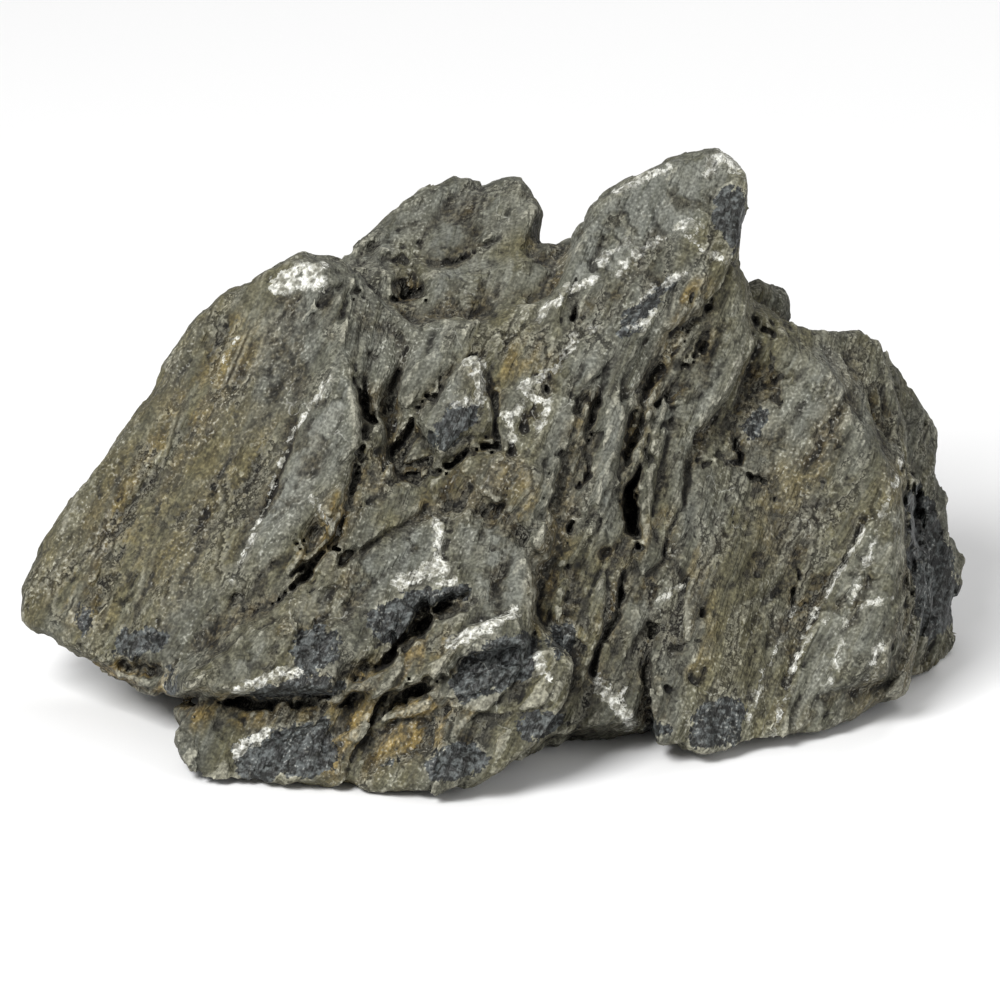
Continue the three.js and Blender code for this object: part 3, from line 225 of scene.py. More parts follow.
# Flakes that stand proud of the slabs' faces, where a thinner sheet of the slate is left:
# outline on the face, height and the width of its edge, in mm.
RAISED_FLAKES = [
    # flake mid
    ([
        (-21, 66), (-17.6, 72), (-13.6, 78.4), (-10.8, 83.2), (-7.6, 88), (-4.4, 89.2),
        (-2.4, 85.6), (-1.6, 80), (-0.8, 76), (-2.4, 72.6), (-7.6, 72), (-10.4, 69.6),
        (-15.2, 67.6),
    ], 2.4, 0.9),
    # shield flake
    ([
        (-40, 80), (-34, 85), (-29.6, 84.4), (-27.6, 76), (-26.8, 69), (-30, 62), (-31, 54),
        (-36.4, 58), (-40.8, 51), (-47, 46), (-50, 40), (-53, 42), (-47.6, 56), (-42, 70),
    ], 1.3, 0.9),
    # right plate
    ([
        (72.4, 55.6), (81, 60), (82.4, 48), (78, 39), (73.6, 26.4), (67, 19), (60, 14),
        (54.4, 11.6), (57, 22), (60, 32), (65.2, 42),
    ], 1.3, 0.9),
    # fin two
    ([
        (22.4, 84.4), (24.4, 83.2), (25.4, 76), (24, 70), (22, 66), (24.4, 64), (23.2, 57.6),
        (20.8, 52), (18.4, 59.2), (19.2, 66), (20.4, 74), (20, 81),
    ], 1.2, 1),
    # fin three
    ([
        (32.4, 81.6), (35.2, 78), (33.6, 72), (32, 66), (30, 56), (32.8, 48), (28, 44),
        (25.6, 49.6), (29, 56), (28.4, 66), (29.6, 74),
    ], 1.8, 1),
    # low plate
    ([
        (10.4, 36.4), (12, 40), (16, 40.2), (21, 47.4), (22, 40), (20.8, 32), (18, 29), (15, 32),
        (12, 30),
    ], 2, 1),
    # mid flake
    ([
        (-15.2, 22.4), (-11.2, 29.6), (-6, 35.6), (3.2, 38.4), (5.8, 32), (4.8, 26.4), (-4, 21.6),
        (-12, 20),
    ], 3, 1),
    # ledge
    ([
        (-34, 13), (-20, 19), (-12, 22), (1, 25.6), (6, 30), (12.4, 32), (15, 28), (11.2, 20),
        (0, 17.6), (-10, 19.2), (-20, 16.8), (-28, 12),
    ], 1.6, 1),
    # lobe plate
    ([
        (-52.4, 11.2), (-40, 15.2), (-34.4, 16.8), (-31.6, 12), (-30.8, 6), (-40, 3.6), (-50, 2.8),
        (-52.8, 6),
    ], 1.3, 0.9),
    # lobe belly
    ([
        (-30, 6), (-20, 12), (-10, 14), (0, 11), (-4, 5), (-14, 0.8), (-23, 0), (-30, 2),
    ], 2, 4),
    # tongue
    ([
        (-51, 32), (-40, 40), (-29.6, 48), (-16, 59), (-12, 56), (-20, 48), (-30, 40), (-40, 33.6),
        (-47.6, 29),
    ], 1.3, 0.9),
]


def smooth_step(low, high, x):
    """0 below low, 1 above high and a smooth S between."""
    t = np.clip((x - low) / (high - low), 0, 1)
    return t * t * (3 - 2 * t)


raised = np.zeros_like(face_u)
for points, height, edge in RAISED_FLAKES:
    plate = height * smooth_step(0, edge, -outline_distance(points, face_u, face_v))
    raised = np.maximum(raised, plate)


def slab_volume(points, front_points, back_points, slope, widest):
    """Distance to one slab: the largest of the distances past its front, its back and its edge."""
    a, b, c = depth_plane(front_points)
    front = a + b * face_u + c * face_v - raised
    a, b, c = depth_plane(back_points)
    back = np.maximum(a + b * face_u + c * face_v, front + THINNEST_SLAB)
    widest_at = (front + (back - front) * widest)[:, :, None]
    steep = np.sqrt(1 + sum(g ** 2 for g in np.gradient(front, CELL)))
    before = (front[:, :, None] - grid_w) / steep[:, :, None]
    behind = (grid_w - back[:, :, None]) / np.sqrt(1 + b * b + c * c)
    edge = outline_distance(points, face_u, face_v)[:, :, None] - WORN_BACK
    beside = (edge + slope * np.abs(grid_w - widest_at)) / np.hypot(1, slope)
    sheet = smooth_max(before, behind, EDGE_ROUNDING)
    return smooth_max(sheet, beside, EDGE_ROUNDING).astype(np.float32)


stone = None
for slab in SLABS:
    volume = slab_volume(*slab)
    stone = volume if stone is None else -smooth_max(-stone, -volume, SLAB_BLEND)

# Slate breaks along its bedding into flat flakes, large ones first and smaller ones on them.
# Each flake is the nearest of a set of scattered centres, spaced along the bedding's run, its
# dip and its thickness, and has its own small step and tilt.
BED_NORMAL = np.array([-0.80, 0.46, -0.38]) / np.linalg.norm([-0.80, 0.46, -0.38])
BED_RUN = np.array([0.5, 0.866, 0.0])
BED_RUN -= BED_RUN @ BED_NORMAL * BED_NORMAL
BED_RUN /= np.linalg.norm(BED_RUN)
BEDDING = np.stack([BED_RUN, np.cross(BED_NORMAL, BED_RUN), BED_NORMAL])
# spacing along run, dip and thickness, height and number of the pattern
LARGE_FLAKES = [((46, 26, 13), 1.5, 11), ((22, 13, 5.5), 0.75, 23)]
SMALL_FLAKES = [((9, 6, 2.4), 0.42, 37), ((4.2, 3, 1.3), 0.26, 51)]
FLAKE_TILT = 0.6
# smooth areas: outline on the face and the share of the largest flakes' height that is left
CALM = [
    # knob
    ([
        (45.6, 106.4), (53, 108.4), (62.4, 106), (63, 94), (58, 91), (47, 91),
    ], 0.05),
    # shield
    ([
        (-98, 40), (-94, 53), (-70, 84), (-62, 100), (-47.6, 107.6), (-40.4, 112), (-32, 110),
        (-31, 90), (-31, 56), (-47.6, 36), (-66, 22), (-90, 30),
    ], 0.3),
    # fin
    ([
        (12, 111), (15, 122), (24, 127.6), (38, 132.4), (46, 133.6), (53, 128), (51, 112),
        (44.4, 104), (33, 95.6), (22.4, 89.6), (15, 80), (10, 64), (-12, 56), (-12, 64), (0, 92),
    ], 0.12),
    # peak
    ([
        (-35, 106.4), (-31, 113.6), (-19, 124.4), (-10, 128), (6, 127.6), (11.2, 112.4), (12, 104),
        (-6, 96), (-28, 92), (-31, 100),
    ], 0.4),
    # right
    ([
        (40, 68), (47, 80), (52, 92), (60, 96), (76, 96.4), (83, 86), (90, 72), (86, 56), (85, 36),
        (70, 14), (54, 8), (38, 12), (36, 48),
    ], 0.4),
    # tongue
    ([
        (-64, 22), (-47.6, 36), (-31, 48), (-12, 58.8), (4, 54), (6, 40), (-6, 32), (-30, 22),
        (-53.6, 20.4),
    ], 0.5),
]
CALM_EDGE = 4
# how far from the skin the volume is still changed
LARGE_FLAKE_REACH = 3.2
SMALL_FLAKE_REACH = 1.8
# size in mm, height in mm and number of the pattern; then the same for how the beds wander
SWELL = (48, 0.9, 8)
BED_WANDER = (60, 3, (5, 6, 7))


def chance(i, j, k, pattern):
    """A repeatable number from 0 to 1 for the whole numbers i, j, k: their bits, well stirred."""
    bits = (i.astype(np.int64) * 73856093) ^ (j.astype(np.int64) * 19349663)
    bits = (bits ^ (k.astype(np.int64) * 83492791) ^ (pattern * 2654435)) & 0xFFFFFFFF
    bits = ((bits ^ (bits >> 15)) * 2246822519) & 0xFFFFFFFF
    bits = ((bits ^ (bits >> 13)) * 3266489917) & 0xFFFFFFFF
    return (bits ^ (bits >> 16)) / 4294967296.0


def swell(points, size, pattern):
    """Smooth swell, about -1 to 1: six sine waves of that size in scattered directions, summed."""
    n = np.arange(6)
    turn = 2 * np.pi * chance(n, n, n, pattern)
    fall = np.arccos(2 * chance(n, n, n, pattern + 1) - 1)
    steps = 2 * np.pi / size * (0.7 + 0.9 * chance(n, n, n, pattern + 2))
    ways = np.stack([np.sin(fall) * np.cos(turn), np.sin(fall) * np.sin(turn), np.cos(fall)])
    starts = 2 * np.pi * chance(n, n, n, pattern + 3)
    return np.sin(points @ (ways * steps) + starts).sum(1) / 3


def bedded(points):
    """Places along the bedding's run, dip and thickness, with the beds wandering a little."""
    size, reach, patterns = BED_WANDER
    return (points + reach * np.stack([swell(points, size, p) for p in patterns], 1)) @ BEDDING.T


def flake_cells(places, pattern):
    """The flake that each place is on: the nearest of the scattered centres owns the place.

    Gives the flake's step with its tilt, a number of its own, and how far inside its border the
    place is, which is the distance to the second nearest centre less that to the nearest.
    """
    base = np.floor(places).astype(np.int32)
    first, second = np.full(len(places), 9.0), np.full(len(places), 9.0)
    height, own = np.zeros(len(places)), np.zeros(len(places))
    for step in np.ndindex(3, 3, 3):
        i, j, k = (base + np.array(step) - 1).T
        a, b, c, d = (chance(i, j, k, pattern + n) for n in range(4))
        x = places[:, 0] - i - 0.15 - 0.7 * a
        y = places[:, 1] - j - 0.15 - 0.7 * b
        z = places[:, 2] - k - 0.15 - 0.7 * c
        far = x * x + y * y + z * z
        tilt = (2 * b - 1) * x + (2 * c - 1) * y + (2 * a - 1) * z
        nearer = far < first
        second = np.where(nearer, first, np.minimum(second, far))
        first = np.where(nearer, far, first)
        height = np.where(nearer, 2 * d - 1 + FLAKE_TILT * tilt, height)
        own = np.where(nearer, (a + 7 * c) % 1, own)
    return height, own, np.sqrt(second) - np.sqrt(first)


def near_skin(reach):
    """Which grid points lie within the reach of the skin, and their places."""
    at = np.nonzero(np.abs(stone) < reach)
    return at, np.stack([grid_u[at[0]], grid_v[at[1]], grid_w[at[2]]], 1).astype(float)


at, places = near_skin(LARGE_FLAKE_REACH)
lift = SWELL[1] * swell(places, SWELL[0], SWELL[2])
calm = np.ones_like(face_u)
for points, left in CALM:
    inside = smooth_step(-CALM_EDGE / 2, CALM_EDGE / 2, -outline_distance(points, face_u, face_v))
    calm = np.minimum(calm, 1 - (1 - left) * inside)
calm = calm[at[0], at[1]]
shares = (calm, np.sqrt(calm))
for share, (spacing, height, pattern) in zip(shares, LARGE_FLAKES):
    lift += share * height * flake_cells(bedded(places) / spacing, pattern)[0]
stone[at] += lift

# Water has opened cracks between the flakes and washed pits out of the softer beds. Each is cut
# square into the face. A groove's points are u, v, its reach on the right hand and on the left
# hand of its line, and its depth; a pit's are u, v, two radii, the turn in degrees and the depth.
GROOVES = [
    # shield crack
    [
        (-30, 86.8, 0.6, 1, 0.6), (-28.8, 84.4, 1, 2, 4.5), (-27.8, 80, 1, 2.8, 6),
        (-27, 75.2, 1, 2.2, 5.5), (-26.8, 70, 1, 1.8, 5), (-28.4, 65.6, 1, 1.6, 4.5),
        (-29.6, 62.4, 1, 1.2, 2), (-30, 58, 0.8, 1.2, 2), (-31.4, 53.6, 1.2, 2.2, 5.5),
        (-34, 49.2, 2.4, 2.4, 9), (-38.8, 44.4, 1.8, 1.8, 8), (-43.2, 40.6, 1, 1.2, 5),
        (-48.4, 36.4, 0.6, 0.8, 2), (-52, 33.6, 0.6, 0.6, 0.6),
    ],
    # slit
    [
        (-11.2, 85.2, 1, 1.2, 2), (-13.2, 82, 1.4, 1.8, 4), (-16, 78, 1.4, 1.8, 4.5),
        (-18.8, 74, 1.2, 1.6, 4), (-21.6, 70.4, 1.2, 1.4, 2.5), (-23.2, 68, 0.8, 1, 1),
    ],
    # slit b
    [
        (-22, 84.4, 0.8, 0.8, 0.8), (-22.6, 80.4, 0.8, 1, 1.2), (-22.2, 75, 0.8, 1, 1),
        (-23.2, 71, 0.8, 0.8, 0.6),
    ],
    # under flake
    [
        (-0.6, 75.2, 1, 0.8, 2), (-1.4, 71.4, 1, 1.4, 5), (-6.8, 69.6, 1.2, 1.6, 7),
        (-10.8, 67.2, 1, 1.4, 6), (-14.8, 65.4, 1, 1, 4), (-19, 64, 0.8, 0.8, 2.5),
        (-23, 63.2, 0.6, 0.8, 1),
    ],
    [(-2.6, 87, 0.6, 1.2, 1), (-1.6, 81.6, 0.6, 2, 2.5), (-1, 76.4, 0.6, 2, 2.5)],  # beside nodule
    # fin step
    [
        (15, 111.2, 0.8, 0.8, 1), (12.4, 108.8, 1.2, 0.8, 2.2), (10.4, 105, 1.2, 0.8, 1.6),
        (7.6, 102, 1, 0.6, 1), (1, 98, 0.8, 0.6, 0.7), (-6, 96.2, 0.8, 0.6, 0.8),
    ],
    # peak crease
    [
        (-32.4, 106.4, 1, 1, 1), (-28.8, 108.4, 1.4, 1.2, 3), (-24.8, 111.2, 1.4, 1.2, 3),
        (-21, 112, 1.2, 1.2, 1), (-12, 108.8, 1.2, 1.6, 1.5), (-6, 108.8, 1.2, 1.6, 2.5),
        (-2.8, 111.2, 1.2, 1.6, 2.5), (1, 113.6, 1, 1.2, 1),
    ],
    [(-27.6, 102, 0.8, 0.8, 2), (-29.6, 99, 0.8, 0.8, 3), (-31.2, 96.8, 0.6, 0.6, 1)],  # shoulder slits
    # shoulder slit b
    [
        (-30, 103.6, 0.6, 0.8, 2), (-31.6, 101.6, 0.8, 0.8, 3), (-32.4, 100, 0.6, 0.6, 1),
    ],
    # groove one
    [
        (28, 92.4, 0.6, 2, 1.2), (23.6, 88.8, 0.6, 2.8, 2), (21.2, 85.6, 0.6, 3.6, 2.4),
        (18.4, 81.2, 0.6, 4.8, 2.8), (16.4, 77.6, 0.6, 5.6, 3), (14.4, 73.2, 0.6, 6.8, 3),
        (12.4, 68, 0.6, 7.2, 3), (10.4, 62.8, 0.6, 8, 3), (10.8, 57.6, 0.6, 8, 3),
        (9.6, 51, 0.6, 8.8, 3), (8.2, 44, 0.6, 9.2, 3.4), (6.6, 37.6, 0.6, 8, 3.6),
        (6.8, 32.8, 0.8, 4.8, 2),
    ],
    # groove one deep
    [
        (19.2, 82.4, 0.6, 1, 2), (18.2, 79.6, 0.8, 1.4, 6), (17.4, 76, 0.8, 1.6, 7),
        (16.2, 72, 0.6, 1, 2.5), (16.8, 67.6, 0.8, 1.6, 4), (15.4, 63.2, 0.8, 1.6, 4),
        (13, 60.4, 0.6, 0.8, 1.5),
    ],
    # groove one foot
    [
        (11.2, 56, 0.4, 0.8, 2), (10.2, 50.4, 0.6, 0.8, 2.5), (8.4, 46.8, 0.6, 1, 3),
        (7.2, 40.8, 0.6, 1.4, 5), (6.4, 35.6, 0.8, 1.8, 6), (6.6, 32, 0.8, 1.2, 3),
    ],
    # groove two
    [
        (43.2, 103.6, 0.8, 1.2, 1), (41.2, 99.6, 1.2, 1.8, 3), (38.8, 96.4, 1, 1.6, 1.6),
        (36.8, 93.2, 1.4, 1.8, 3.5), (34.4, 90.4, 1.2, 1.8, 2.4), (32, 87.6, 1.8, 2.4, 3),
        (30, 83, 2, 2.8, 3), (28, 78, 2.2, 2.4, 3.4), (26.4, 72.8, 1.8, 2, 3.6),
        (23.6, 67.6, 1, 1.4, 3),
    ],
    [(40.8, 92.4, 0.8, 1.2, 2), (38.8, 89.2, 1.2, 1.4, 6), (36.8, 86.4, 0.8, 1, 2)],  # groove two b
    # hollow
    [
        (29.2, 67.6, 1, 0.8, 3), (27.2, 63.6, 2.4, 1.6, 12), (25.8, 59.2, 2.4, 2.8, 14),
        (26, 55.2, 2.2, 2.8, 14), (27.6, 52, 1.6, 1.6, 7),
    ],
    # groove three
    [
        (30, 72, 0.8, 1.6, 1.6), (31.6, 76, 1, 2.4, 2.2), (34.4, 80, 1.2, 2.4, 1.8),
        (38, 83, 1.2, 2, 0.8),
    ],
    [(16, 57.6, 1.2, 1, 3), (14, 54, 2, 1.6, 8), (12.8, 50.4, 1.6, 1.6, 5)],  # hollow low
    # edge slit
    [
        (38.4, 67.6, 0.6, 0.6, 0.5), (36.6, 61, 0.6, 0.6, 1.2), (34.4, 54, 0.8, 0.8, 2),
        (33.6, 48, 0.8, 1, 2),
    ],
    # groove four
    [
        (25.6, 45.6, 0.8, 1, 2), (24.4, 41.2, 0.8, 1.2, 4.5), (22.4, 36, 0.8, 1, 3),
        (20.4, 30.8, 0.8, 1, 2), (18.8, 26.4, 1.6, 2, 5), (20, 23.6, 1, 1, 2),
    ],
    [(32.4, 28.4, 0.6, 0.6, 2), (34, 31, 0.6, 0.6, 3), (40, 31.8, 0.6, 0.6, 1)],  # crack right
    # crevice
    [
        (-60.8, 16.8, 0.8, 1.2, 2), (-56.8, 20.4, 0.8, 3.2, 4), (-52, 19.6, 0.6, 4, 4.5),
        (-42, 19.4, 0.6, 4.4, 4.5), (-33, 20.6, 0.6, 4.4, 5.5), (-28.8, 23.2, 0.6, 5.2, 6),
        (-23, 26.8, 0.6, 4.4, 6), (-18, 32, 0.6, 6, 7), (-12, 36.8, 0.6, 5.6, 7),
        (-5.2, 39.2, 0.6, 2.8, 2.5),
    ],
    # crevice line
    [
        (-60, 19.2, 0.4, 0.8, 2), (-55.6, 21.6, 0.6, 0.8, 5), (-50, 20.4, 0.6, 0.8, 5.5),
        (-40, 20.4, 0.6, 0.8, 5.5), (-31, 22.4, 0.6, 1, 6), (-25.6, 26.4, 0.6, 1.2, 7),
        (-20.4, 30.8, 0.8, 1.6, 10), (-17, 35.6, 0.8, 2.8, 11), (-12, 39.6, 0.8, 2.4, 10),
        (-6.4, 40.8, 0.6, 1.2, 3),
    ],
    # crevice low
    [
        (-21.6, 20, 0.6, 1.2, 2), (-18.4, 22.8, 1.2, 2, 6), (-14.4, 23.6, 1, 2, 6),
        (-10.8, 24.8, 0.6, 1.2, 2),
    ],
    # facet edge
    [
        (-12, 57.6, 0.6, 0.6, 0.5), (-10.8, 53, 0.6, 0.8, 1.2), (-12, 47.6, 0.6, 0.8, 1.2),
        (-16.4, 44.4, 0.6, 0.6, 0.6),
    ],
    # right crack
    [
        (47, 75, 0.8, 0.8, 2), (46.6, 70.8, 0.8, 1, 5), (47, 67.6, 1, 1.2, 5),
        (50.4, 64.8, 0.8, 1, 3), (54.4, 62, 0.8, 1, 2),
    ],
    [(40, 67.6, 0.6, 0.8, 1), (43.2, 68.6, 0.6, 0.8, 2), (46.6, 67.6, 0.6, 0.8, 2)],  # right crack b
    [(53.2, 89.6, 1.2, 1.4, 1), (54.8, 84.8, 1.2, 1.4, 1.6), (55.2, 80.4, 1.2, 1.4, 1)],  # right groove
    # far hollow
    [
        (82.2, 66, 1.6, 0.6, 3), (84, 60.4, 2.8, 1, 8), (84.6, 54, 3.2, 1, 9),
        (83.2, 47.6, 1.8, 0.8, 4), (81.2, 38, 1.4, 0.8, 2.5), (78.4, 29, 1.2, 0.8, 2),
    ],
    [(67.6, 79.2, 2, 2.4, 0.5), (65.2, 75.2, 2, 2.8, 1), (62.4, 69.6, 1.8, 2.4, 0.6)],  # right dent
    [(58, 45.6, 0.8, 1, 2), (59.2, 42, 1, 1, 5), (60, 38.8, 0.6, 0.6, 2)],  # right slit
    # right step
    [
        (72.8, 55.6, 1.2, 0.6, 0.4), (69.2, 48.8, 1.4, 0.6, 0.8), (65.2, 41.6, 1.4, 0.6, 1),
        (61.2, 34, 1.4, 0.6, 0.8), (58.8, 26.4, 1.2, 0.6, 0.4),
    ],
    [(58.4, 30, 0.8, 0.6, 0.5), (56, 22, 1.2, 0.6, 0.8), (52.8, 13, 1, 0.6, 0.6)],  # right step b
    [(51.2, 95, 2, 2, 5), (54, 93.6, 2, 1.6, 5), (56.8, 94.4, 1.2, 1.2, 3)],  # under knob
]
PITS = [
    (-18.6, 103.6, 6.4, 4.2, 0, 6.5), (-21.2, 106.8, 4, 3, -30, 4), (15, 96.8, 1.6, 3.6, 8, 4.5),
    (14.2, 102.4, 1, 3.2, 10, 2), (9.6, 66, 6, 2.8, 30, 1.2), (2, 60, 6, 3.6, 40, 1.5),
    (2.6, 69.6, 1.8, 2, 0, 2.2), (5.4, 74.6, 1.6, 1.8, 0, 1.8), (9, 83.4, 1.6, 1.6, 0, 2),
    (6.4, 77, 2.8, 2.8, 0, 0.9), (-36.4, 53.2, 4.4, 5.2, 30, 4.5),
    (-27.6, 109.6, 4.4, 1.6, 35, 2.5), (-36.4, 80.4, 2.4, 2.4, 0, 1.2),
    (-72, 26.4, 6.8, 3.2, 10, 5), (0, 42, 2.8, 3.6, 20, 1.2), (-34, 100, 2.8, 4, 0, 1.5),
    (51, 83.6, 3.6, 4.4, 0, 1.5), (18, 32, 2.4, 3.2, 0, 1.5), (8, 38, 2.4, 4, 20, 4),
    (20, 48, 2, 3.2, 20, 1.5), (41.6, 77.6, 2.4, 2, 0, 1.5), (38, 100, 1.6, 2, 30, 2),
    (-6, 96.2, 1, 0.8, 0, 1.6), (-15, 66, 1.2, 1, 0, 1), (-2.6, 62, 1.6, 1.4, 0, 1.2),
    (-26, 88, 1.4, 1.2, 0, 1.5), (72, 48, 1, 1, 0, 1), (47, 56, 1.2, 2, 10, 1.5),
    (52, 48, 1, 1.8, 20, 1.2), (64, 64, 1.2, 1.8, 20, 1.2), (40, 38, 1.2, 1.6, 0, 1.4),
    (33, 24, 1.4, 1.8, 0, 1.6),
]
NARROWEST_REACH = 0.8
# depth in mm that a cut's wall drops at most for each mm of its reach
STEEPEST_WALL = 6
SHALLOWEST_CUT = 0.05
# rims break along the flakes: spacing, shift to one side in mm and number of the pattern
RIM_FLAKES = [((9, 5, 3), 1.1, 61), ((4, 2.6, 1.6), 0.7, 71)]
RIM_WAVE = 0.5
RIM_UNEVENNESS = 0.22


def groove_depth(points, u, v):
    """Depth of a groove: full near its line, falling in an S to nothing at its reach."""
    deepest = np.zeros_like(u)
    for (au, av, ar, al, ad), (bu, bv, br, bl, bd) in zip(points, points[1:]):
        t, du, dv = nearest_on((au, av), (bu, bv), u, v)
        depth = ad + t * (bd - ad)
        on_left = (bu - au) * dv - (bv - av) * du > 0
        reach = np.where(on_left, al + t * (bl - al), ar + t * (br - ar))
        reach = np.maximum(np.maximum(reach, NARROWEST_REACH), depth / STEEPEST_WALL)
        deepest = np.maximum(deepest, depth * (1 - smooth_step(0.15, 1, np.hypot(du, dv) / reach)))
    return deepest


def pit_depth(pit, u, v):
    """Depth of a pit: full in its middle, falling in an S to nothing at its oval rim."""
    pu, pv, across, along, turn, depth = pit
    c, s = np.cos(np.radians(turn)), np.sin(np.radians(turn))
    a = ((u - pu) * c - (v - pv) * s) / across
    b = ((u - pu) * s + (v - pv) * c) / along
    return depth * (1 - smooth_step(0.3, 1, np.hypot(a, b)))


# where the front of the stone lies behind each place of the face
first = (stone < 0).argmax(2)
outer = np.take_along_axis(stone, np.maximum(first - 1, 0)[:, :, None], 2)[:, :, 0]
inner = np.take_along_axis(stone, first[:, :, None], 2)[:, :, 0]
face_w = grid_w[0] + CELL * (first - inner / np.minimum(inner - outer, -1e-6))
face_w = np.where((stone < 0).any(2), face_w, 1e3)

# each flake's share of a rim lies a little to one side, and its cut is deeper or shallower
ragged_u = face_u + RIM_WAVE * np.sin(face_v / 2.3 + 1) * np.sin(face_u / 3.1)
ragged_v = face_v + RIM_WAVE * np.sin(face_u / 2.7) * np.cos(face_v / 3.7 + 2)
uneven = np.ones_like(face_u)
on_face = bedded(np.stack([face_u.ravel(), face_v.ravel(), np.minimum(face_w, 90).ravel()], 1))
for spacing, shift, pattern in RIM_FLAKES:
    step, own, _ = flake_cells(on_face / spacing, pattern)
    ragged_u += shift * (2 * own - 1).reshape(face_u.shape)
    ragged_v += shift * step.reshape(face_u.shape)
    uneven *= 1 + RIM_UNEVENNESS * step.reshape(face_u.shape)
worn = np.zeros_like(face_u)
for points in GROOVES:
    worn = np.maximum(worn, groove_depth(points, ragged_u, ragged_v))
for pit in PITS:
    worn = np.maximum(worn, pit_depth(pit, ragged_u, ragged_v))
worn *= uneven
steep = np.sqrt(1 + sum(g ** 2 for g in np.gradient(worn, CELL)))
floor_distance = ((face_w + worn)[:, :, None] - grid_w) / steep[:, :, None]
stone = np.maximum(stone, np.where((worn > SHALLOWEST_CUT)[:, :, None], floor_distance, -9))

at, places = near_skin(SMALL_FLAKE_REACH)
lift = np.zeros(len(places))
for spacing, height, pattern in SMALL_FLAKES:
    lift += height * flake_cells(bedded(places) / spacing, pattern)[0]
stone[at] += lift

# Handling and weather take the sharpest points off, and the foot is flat where it rests.
SOFTENING = 0.08
DEEPEST_FOOT_HOLLOW = 3


def soften(volume, axis, share):
    """Each value moves that share of the way to each of its two neighbours along the axis."""
    rows = np.moveaxis(volume, axis, 0)
    out = rows.copy()
    out[1:-1] += share * (rows[:-2] + rows[2:] - 2 * rows[1:-1])
    return np.moveaxis(out, 0, axis)


for axis in range(3):
    stone = soften(stone, axis, SOFTENING)
lean_sin, lean_cos = np.sin(FACE_LEAN), np.cos(FACE_LEAN)
away = grid_v[:, None] * lean_sin + grid_w * lean_cos
up = grid_v[:, None] * lean_cos - grid_w * lean_sin
along = grid_u[:, None, None]
under = 1.2 + 1.6 * np.sin(along / 17 + 1) * np.cos(away / 13) + 1.3 * np.sin(along / 9 + away / 11)
foot = FOOT_TRIM + np.clip(under, 0, DEEPEST_FOOT_HOLLOW)
stone = np.maximum(stone, foot - up).astype(np.float32)
# the volume's own border counts as outside, so that the skin closes
for axis in range(3):
    rim = np.moveaxis(stone, axis, 0)
    rim[[0, -1]] = np.maximum(rim[[0, -1]], 1)

# The skin is where that volume ends: one point in every grid cell that the skin crosses, at the
# mean of its crossings, and one four-sided face across every grid edge that it crosses.
CORNERS = np.array(list(np.ndindex(2, 2, 2)))
NEXT_TO = np.abs(CORNERS[:, None] - CORNERS).sum(2) == 1
EDGES = [(a, b) for a in range(8) for b in range(a + 1, 8) if NEXT_TO[a, b]]
MOST_PASSES = 200
JUST_ACROSS = 0.02


def tangled_cells():
    """Which of the 256 patterns of inside and outside corners would pinch the skin to a point."""

    def groups(members):
        """How many groups the corners form when neighbours along an edge belong together."""
        left, count = set(members), 0
        while left:
            reached, count = [left.pop()], count + 1
            while reached:
                for b in np.nonzero(NEXT_TO[reached.pop()])[0]:
                    if b in left:
                        left.remove(b)
                        reached.append(b)
        return count

    sides = [
        [c for c in range(8) if CORNERS[c][axis] == side] for axis in range(3) for side in (0, 1)
    ]
    out = []
    for pattern in range(256):
        inside = [pattern >> c & 1 for c in range(8)]
        checkered = any(inside[a] == inside[d] != inside[b] == inside[c] for a, b, c, d in sides)
        split = any(groups([c for c in range(8) if inside[c] == kind]) > 1 for kind in (0, 1))
        out.append(checkered or split)
    return np.array(out)


def crossed_cells(volume):
    """Lowest corner of every grid cell with corners both inside and outside."""
    inside = volume < 0
    shape = tuple(n - 1 for n in volume.shape)
    count = sum(
        inside[i:i + shape[0], j:j + shape[1], k:k + shape[2]].astype(np.uint8)
        for i, j, k in CORNERS
    )
    return np.argwhere((count > 0) & (count < 8))


def untangle(volume):
    """Moves the weakest corner of each pinched cell across the skin until no cell is pinched."""
    tangled = tangled_cells()
    cells = crossed_cells(volume)
    for turn in range(MOST_PASSES):
        values = np.stack([volume[tuple((cells + c).T)] for c in CORNERS], 1)
        bad = tangled[((values < 0) << np.arange(8)).sum(1)]
        if not bad.any():
            break
        weak = np.abs(values) if turn < 8 else np.where(values >= 0, values, np.inf)
        spot = tuple(np.unique(cells[bad] + CORNERS[weak[bad].argmin(1)], axis=0).T)
        volume[spot] = np.where(volume[spot] < 0, JUST_ACROSS, -JUST_ACROSS)
        cells = np.unique(np.concatenate([np.stack(spot, 1) - c for c in CORNERS]), axis=0)
        cells = cells[((cells >= 0) & (cells < np.array(volume.shape) - 1)).all(1)]


